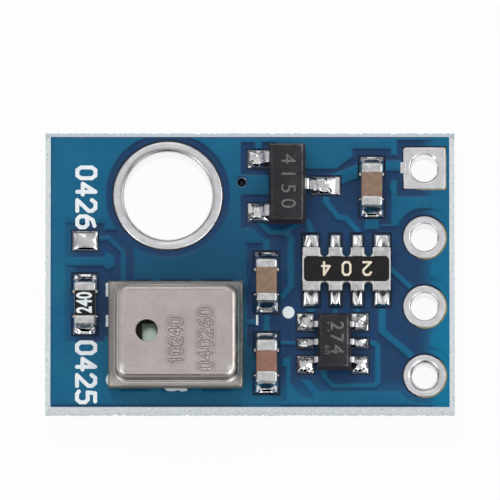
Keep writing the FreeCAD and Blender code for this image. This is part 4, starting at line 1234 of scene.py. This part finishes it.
def makeArray():
    coreLow, coreHigh = boxOf("array_ceramic")
    ends = [roundBlock(low, high, arrayShape["endEdge"], 4) for low, high in islands("array_ends")]
    addPiece("arrayEnds", ends, "leads", ["array_ends"], 60)
    low, high = boxOf("array_coat")
    half = (high - low)[:2] / 2
    loops = []
    for inset, z in [(0.0, low[2] - 0.01)] + [(inset, high[2] + drop) for inset, drop in arrayShape["coat"]]:
        loop = roundedLoop(*(half - inset), arrayShape["coatCorner"] - inset * 0.5, arrayShape["coatSide"],
                           arrayShape["coatArc"])
        loops.append(levelLoop(loop + (low + high)[:2] / 2, z))
    addPiece("arrayCoat", [cappedShell(loops)], "coat", ["array_coat"])

    def nearOf(low, high, outer):
        return low[1] if outer else high[1]

    def heightOf(near, far, outer, number):
        crest = toothShape["outerCrest" if outer else "innerCrest"]
        return toothHeight(near, far, crest, toothShape["seed"] + number)

    shells = []
    creases = []
    middle = (coreLow[1] + coreHigh[1]) / 2
    cushions = endCushions(islands("array_solder"), middle, nearOf, arrayShape["under"], heightOf, (36, 44))
    for number, outer, shell, share, across in cushions:
        shells.append(shell)
        # a painted dark reflection down each tooth's groove, leaning to one side
        lean, strength = toothDark["outer" if outer else "inner"]
        across = across - lean * math.sin(number * 2 + 1)
        wavy = toothDark["wave"] * bumps(shell[0][:, 0], shell[0][:, 1], toothDark["pitch"], number)
        reach, slant, soft = toothDark["along"]
        crease = strength * smoothStep((reach + wavy - share - np.abs(across) * slant) / soft)
        reach, waviness, soft, strength = toothDark["seam"]  # a seam where the solder meets the metal
        creases.append(np.maximum(crease, strength * smoothStep((reach + waviness * wavy - share) / soft)))
    values = {"crease": np.concatenate(creases)}
    addPiece("arraySolder", shells, "solder", ["array_solder"], 70, values)
    print("array made")


# Moulded bodies with bent leads
leadShape = {"thickness": 0.12, "foot": 0.24, "bend": 0.09, "edge": 0.02, "steps": 6}
bodyShape = {"edge": 0.05, "shrink": 0.11, "parting": (0.012, 0.02), "crease": 0.86, "side": 8, "arc": 5,
             "paintedGlint": [0, 0, 0.3, 0.5, 0.5, 0.1, 0.05, 1, 1, 0.1], "glintLeft": 0.25, "rightFrom": 0.6}


def roundedPath(points, radius, steps):  # straight runs with a parabola's arc at each turn
    points = np.array(points, float)
    share = np.linspace(0, 1, steps + 1)[:, None]
    path = [points[:1]]
    for before, corner, after in zip(points, points[1:], points[2:]):
        start = corner + (before - corner) / np.linalg.norm(before - corner) * radius
        end = corner + (after - corner) / np.linalg.norm(after - corner) * radius
        path.append((1 - share) ** 2 * start + 2 * share * (1 - share) * corner + share ** 2 * end)
    return np.vstack(path + [points[-1:]])


# A flat bar carried along a path in an upright plane: its rounded section lies square to the path
def bentBar(path, middleY, width, thickness, edge):
    way = np.gradient(path, axis=0)
    way = way / np.linalg.norm(way, axis=1)[:, None]
    normal = np.column_stack([-way[:, 1], way[:, 0]])
    section = roundedLoop(width / 2, thickness / 2, edge, 3, 3)
    run = path[:, None, :] + normal[:, None, :] * section[None, :, 1:2]
    y = np.broadcast_to(middleY + section[None, :, 0], run.shape[:2])
    return cappedShell(np.stack([run[..., 0], y, run[..., 1]], axis=-1))


def makeLeads(part, count):
    bodyLow, bodyHigh = boxOf(part + "_body")
    bodyX = (bodyLow + bodyHigh)[0] / 2
    half = (bodyHigh - bodyLow)[0] / 2
    thick = leadShape["thickness"]
    for number in range(1, count + 1):
        name = part + "_lead_" + str(number)
        low, high = boxOf(name)
        side = 1 if (low + high)[0] / 2 > bodyX else -1
        inner, tip = (low[0], high[0]) if side > 0 else (high[0], low[0])
        corners = [(inner, high[2] - thick / 2), (bodyX + side * (half + thick * 0.75), high[2] - thick / 2),
                   (tip - side * leadShape["foot"], seat + thick / 2), (tip, seat + thick / 2)]
        path = roundedPath(corners, leadShape["bend"], leadShape["steps"])
        bar = bentBar(path, (low + high)[1] / 2, (high - low)[1], thick, leadShape["edge"])
        addPiece(part + "Lead" + str(number), [bar], "leads", [name], 50)


# Solder set in large soft facets about a crown: the height falls from it by the greatest of a few slopes
facets = {"soft": 0.035, "rim": 8, "crown": 0.17, "least": 0.045, "sink": 0.005, "draw": 0.04,
          "drawReach": 0.09, "bead": 0.075, "beadRise": 0.045,
          "beads": [(-0.52, -0.48), (0.22, -0.60), (-0.05, 0.45)],
          "slopes": (0.42, 0.25), "steepReach": 0.32, "lean": 0.4}
addressLand = {"crown": 0.19, "shift": 0.04, "slopes": [0.44, 0.50, 0.36, 0.46, 0.44, 0.36], "seed": 2.0}


def facetDrop(x, y, crown, slopes, seed):
    turns = np.arange(len(slopes)) * 2 * math.pi / len(slopes) + seed * 1.7
    falls = []
    for number, (turn, slope) in enumerate(zip(turns, slopes)):
        turn = turn + 0.4 * math.sin(seed * 3.1 + number * 2.3)
        falls.append(slope * ((x - crown[0]) * math.cos(turn) + (y - crown[1]) * math.sin(turn)))
    return facets["soft"] * np.log(np.sum(np.exp(np.array(falls) / facets["soft"]), axis=0) / len(slopes))


def facetHeight(u, v, above):  # a height above the seat within a steep soft rim
    rim = np.clip((1 - np.abs(u) ** facets["rim"]) * (1 - np.abs(v) ** facets["rim"]), 0, 1) ** 0.5
    return seat - facets["sink"] + rim * above


def footHeight(lead, middle, steep, seed):  # the crown leans to the lead, and the solder draws up round it
    low, high = lead
    crown = middle * (1 - facets["lean"]) + np.clip(middle, low[:2], high[:2]) * facets["lean"]
    slope, change = facets["slopes"]
    slopes = (slope + change * np.sin(seed * 2.9 + np.arange(5) * 2.1)) * steep

    def heightAt(u, v, x, y):
        gapX = np.maximum(np.maximum(low[0] - x, x - high[0]), 0)
        gapY = np.maximum(np.maximum(low[1] - y, y - high[1]), 0)
        draw = facets["draw"] * np.exp(-np.hypot(gapX, gapY) / facets["drawReach"])
        drop = facetDrop(x, y, crown, slopes, seed)
        wide, deep = np.ptp(x) / 2, np.ptp(y) / 2
        beads = sum(np.exp(-(((u - a) * wide) ** 2 + ((v - b) * deep) ** 2) / facets["bead"] ** 2)
                    for a, b in facets["beads"])
        height = np.maximum(facets["crown"] - drop + draw, facets["least"])
        return facetHeight(u, v, height + facets["beadRise"] * beads)
    return heightAt


def makeFeet(part, count, seed):
    leads = [boxOf(part + "_lead_" + str(number)) for number in range(1, count + 1)]
    shells = []
    for low, high in islands(part + "_solder"):
        middle = (low + high)[:2] / 2
        gaps = [np.linalg.norm((leadLow + leadHigh)[:2] / 2 - middle) for leadLow, leadHigh in leads]
        nearest = leads[int(np.argmin(gaps))]
        seed += 1
        steep = min(1, facets["steepReach"] / ((high - low)[:2].max() / 2))
        heightAt = footHeight(nearest, middle, steep, seed)
        shells.append(cushion(low[:2], high[:2], seat - bed, heightAt, 52, 48))
    addPiece(part + "Solder", shells, "solder", [part + "_solder"], 70)


# A body drawn in towards its top and bottom from the parting line: loops by their inset and height
def mouldedBody(part):
    low, high = boxOf(part + "_body")
    half = (high - low)[:2] / 2
    middle = (low + high) / 2
    top, bottom, parting = high[2], low[2], (low + high)[2] / 2
    shrink, edge, crease = bodyShape["shrink"], bodyShape["edge"], bodyShape["crease"]
    step, reach = bodyShape["parting"]
    rows = [(shrink + edge, bottom), (shrink, bottom + edge), (step, parting - reach), (0.0, parting - step),
            (0.0, parting + step), (step, parting + reach),
            (shrink * crease, parting + crease * (top - edge - parting)), (shrink - 0.01, top - edge),
            (shrink + edge * 0.3, top - edge * 0.3), (shrink + edge, top)]
    loops = []
    for inset, z in rows:
        loop = roundedLoop(*(half - inset), edge, bodyShape["side"], bodyShape["arc"])
        loops.append(levelLoop(loop + middle[:2], z))
    # painted highlights along the top edge and beside the parting line, full on the right end of the body and
    # a quarter as strong elsewhere
    left = bodyShape["glintLeft"]
    right = left + (1 - left) * (loop[:, 0] > half[0] * bodyShape["rightFrom"])
    values = {"paintedGlint": np.outer(bodyShape["paintedGlint"], right).ravel()}
    addPiece(part + "Body", [cappedShell(loops)], "mould", [part + "_body"], 32, values)


def makeLeaded():
    for part, count, seed in (("regulator", 3, 30), ("transistor", 6, 40)):
        mouldedBody(part)
        makeLeads(part, count)
        makeFeet(part, count, seed)
    print("leaded parts made")


def makeAddressLand():
    low, high = boxOf("address_land_solder")
    crown = (low + high)[:2] / 2 + [0.0, addressLand["shift"]]

    def heightAt(u, v, x, y):
        drop = facetDrop(x, y, crown, addressLand["slopes"], addressLand["seed"])
        return facetHeight(u, v, np.maximum(addressLand["crown"] - drop, facets["least"]))

    addPiece("addressSolder", [cushion(low[:2], high[:2], seat - bed, heightAt, 52, 44)], "solder",
             ["address_land_solder"], 70)


# Plain digits on a face: their height, turn in degrees, shift from the middle of the node they stand on,
# share of their usual width, spacing and added boldness
printed = {
    "addressCode": {"text": "240", "on": "address_resistor_coat", "height": 0.55, "turn": 90,
                    "shift": (0, 0, 0.001), "material": "ink", "slot": "white_ink",
                    "narrow": 0.66, "spread": 1.05, "bold": 0.022,
                    "replaces": ["address_resistor_code"]},
    "regulatorMarks": {"text": "4150", "on": "regulator_body", "height": 0.54, "shift": (0.02, 0.02, 0),
                       "spread": 1.45},
    "transistorMarks": {"text": "274", "on": "transistor_body", "height": 0.48, "shift": (0.08, 0.10, 0),
                        "spread": 1.3, "bold": 0.008},
    "transistorBatch": {"text": "60", "on": "transistor_body", "height": 0.2, "shift": (-0.26, -0.34, 0),
                        "narrow": 1.2, "spread": 1.1},
}
printedUsual = {"turn": -90, "material": "laserMark", "slot": "black_mould", "narrow": 1.0, "bold": 0.0,
                "replaces": []}
printedShape = {"capital": 0.72, "thick": 0.002, "spot": 0.028, "spotShift": -0.22, "spotRises": (0.64, 0.35)}


def printedDigits(name):
    look = {**printedUsual, **printed[name]}
    words = bpy.data.curves.new(name, "FONT")
    words.offset = look["bold"] * mm
    words.body = look["text"]
    words.size = look["height"] * mm / printedShape["capital"]
    words.align_x = "CENTER"
    words.align_y = "CENTER"
    words.space_character = look["spread"]
    words.extrude = printedShape["thick"] * mm
    holder = bpy.data.objects.new(name, words)
    mesh = bpy.data.meshes.new_from_object(holder)
    bpy.data.objects.remove(holder)
    points = np.empty(len(mesh.vertices) * 3)
    mesh.vertices.foreach_get("co", points)
    points = points.reshape(-1, 3) * [look["narrow"], 1, 1]
    angle = math.radians(look["turn"])
    spin = np.array([[math.cos(angle), math.sin(angle)], [-math.sin(angle), math.cos(angle)]])
    points[:, :2] = points[:, :2] @ spin
    place = np.append(middleOf(look["on"])[:2], boxOf(look["on"])[1][2])
    points += (place + look["shift"]) * mm
    mesh.vertices.foreach_set("co", points.ravel())
    mesh.materials.clear()
    enterPiece(name, mesh, look["material"], look["replaces"])


def makePrints():
    for name in ("regulatorMarks", "transistorMarks", "transistorBatch"):
        printedDigits(name)
    middle, top = middleOf("transistor_body"), boxOf("transistor_body")[1][2]
    half = printedShape["spot"] * np.array([1, 1, 0]) + [0, 0, printedShape["thick"]]
    spots = []
    for rise in printedShape["spotRises"]:
        corner = np.array([middle[0] + printedShape["spotShift"], middle[1] + rise, top + 0.001])
        spots.append(roundBlock(corner - half, corner + half, printedShape["spot"], 3))
    addPiece("transistorSpots", spots, "laserMark")
    print("marks made")


keptNodes = {  # the nodes that keep their own shape get their finish here
    "copper": ["copper_pour_top", "copper_tracks_top", "copper_pour_bottom", "via_plating"],
    "plating": ["soldering_lands"], "alumina": ["array_ceramic"], "codeInk": ["array_code"],
    "leads": ["sensor_contacts"], "solder": ["sensor_solder"], "gold": ["bond_wires"],
    "silicon": ["signal_chip", "regulator_die", "transistor_die"],
}


def finishKeptNodes():
    for material, nodes in keptNodes.items():
        for node in nodes:
            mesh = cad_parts[node].data
            mesh.materials.clear()
            mesh.materials.append(materials[material])


makeBoard()
makeLacquer()
makeUnderLacquer()
makePlatedHoles()
makeViaPlug()
makeInk()
makeCan()
makeChips()
makeArray()
makeLeaded()
makePrints()
makeAddressLand()
finishKeptNodes()


# Floor, lamps and surroundings
studio = {"floor": 0.25, "floorDrop": 0.00001, "paper": 0.86, "paperGlow": 0.93, "world": 0.66}
lamps = {"keyLamp": {"place": (-0.10, 0.30, 0.34), "size": 0.22, "power": 0.62},
         "fillLamp": {"place": (0.30, -0.12, 0.32), "size": 0.25, "power": 0.22}}
roomHeights = [(0.0, 0.05), (0.30, 0.06), (0.50, 0.36), (0.82, 0.62), (0.985, 0.67)]  # height and brightness
roomPanels = [  # direction, half angle of its even part and of its soft edge in degrees, brightness
    ((0.84, 0.10, 0.54), 10, 20, 2.5), ((-0.60, -0.55, 0.56), 10, 18, 2.6), ((-0.10, 0.70, 0.71), 9, 18, 0.6),
    ((0.50, -0.62, 0.54), 12, 20, 2.6), ((-0.88, 0.25, 0.40), 8, 16, 0.7), ((0.0, -0.90, 0.44), 9, 15, -0.5),
    ((-0.06, 0.52, 0.85), 4, 9, 0.75),
]


def makeFloor():  # pale paper that looks nearly white, and keeps some shadow
    half, drop, paper = studio["floor"], -studio["floorDrop"], studio["paper"]
    mesh = bpy.data.meshes.new("floor")
    mesh.from_pydata([(-half, -half, drop), (half, -half, drop), (half, half, drop), (-half, half, drop)], [],
                     [(0, 1, 2, 3)])
    plain = {"Roughness": 0.9, "Base Color": (paper, paper, paper, 1)}
    material, tree, shader = newMaterial("whitePaper", plain)
    rays = addNode(tree, "ShaderNodeLightPath").outputs
    glow = addNode(tree, "ShaderNodeEmission", {"Color": (1, 1, 1, 1), "Strength": 1.0})
    seen = reckon(tree, "MAXIMUM", rays["Is Camera Ray"], rays["Is Glossy Ray"])
    share = reckon(tree, "MULTIPLY", seen, studio["paperGlow"])
    blend = addNode(tree, "ShaderNodeMixShader", {0: share, 1: shader.outputs[0], 2: glow.outputs[0]})
    tree.links.new(blend.outputs[0], tree.nodes["Material Output"].inputs["Surface"])
    mesh.materials.append(material)
    floor = linkObject("floor", mesh)


def addLamp(name, place, size, power):
    data = bpy.data.lights.new(name, "AREA")
    data.shape = "SQUARE"
    data.size = size
    data.energy = power
    lamp = linkObject(name, data)
    lamp.location = place
    lamp.visible_glossy = False
    lamp.rotation_euler = Vector(place).to_track_quat("Z", "Y").to_euler()


def makeWorld():  # even light for dull surfaces; shiny ones see a dim room with a few bright panels
    world = bpy.data.worlds.new("studio")
    bpy.context.scene.world = world
    world.use_nodes = True
    tree = world.node_tree
    background = tree.nodes["Background"]
    background.inputs["Color"].default_value = (1, 1, 1, 1)
    rays = addNode(tree, "ShaderNodeLightPath").outputs
    place = addNode(tree, "ShaderNodeTexCoord").outputs["Generated"]
    upward = addNode(tree, "ShaderNodeSeparateXYZ", {0: place}).outputs["Z"]
    height = addNode(tree, "ShaderNodeValToRGB", {0: upward})
    ramp = height.color_ramp
    while len(ramp.elements) < len(roomHeights):
        ramp.elements.new(0.5)
    for element, (spot, value) in zip(ramp.elements, roomHeights):
        element.position = spot
        element.color = (value, value, value, 1)
    total = height.outputs[0]
    for direction, inner, outer, strength in roomPanels:
        inputs = {0: place, 1: Vector(direction).normalized()}
        towards = addNode(tree, "ShaderNodeVectorMath", inputs, operation="DOT_PRODUCT").outputs["Value"]
        panel = addNode(tree, "ShaderNodeMapRange", {
            "Value": towards, "From Min": math.cos(math.radians(outer)),
            "From Max": math.cos(math.radians(inner)), "To Max": strength})
        total = reckon(tree, "ADD", total, panel.outputs[0])
    inputs = {0: rays["Is Glossy Ray"], 2: studio["world"], 3: total}
    light = addNode(tree, "ShaderNodeMix", inputs, data_type="FLOAT").outputs[0]
    seen = addNode(tree, "ShaderNodeMix", {0: rays["Is Camera Ray"], 2: light, 3: 1.0}, data_type="FLOAT")
    tree.links.new(seen.outputs[0], background.inputs["Strength"])


makeFloor()
for lampName, lamp in lamps.items():
    addLamp(lampName, **lamp)
makeWorld()
bpy.context.scene.view_settings.view_transform = "Standard"
print("studio made")
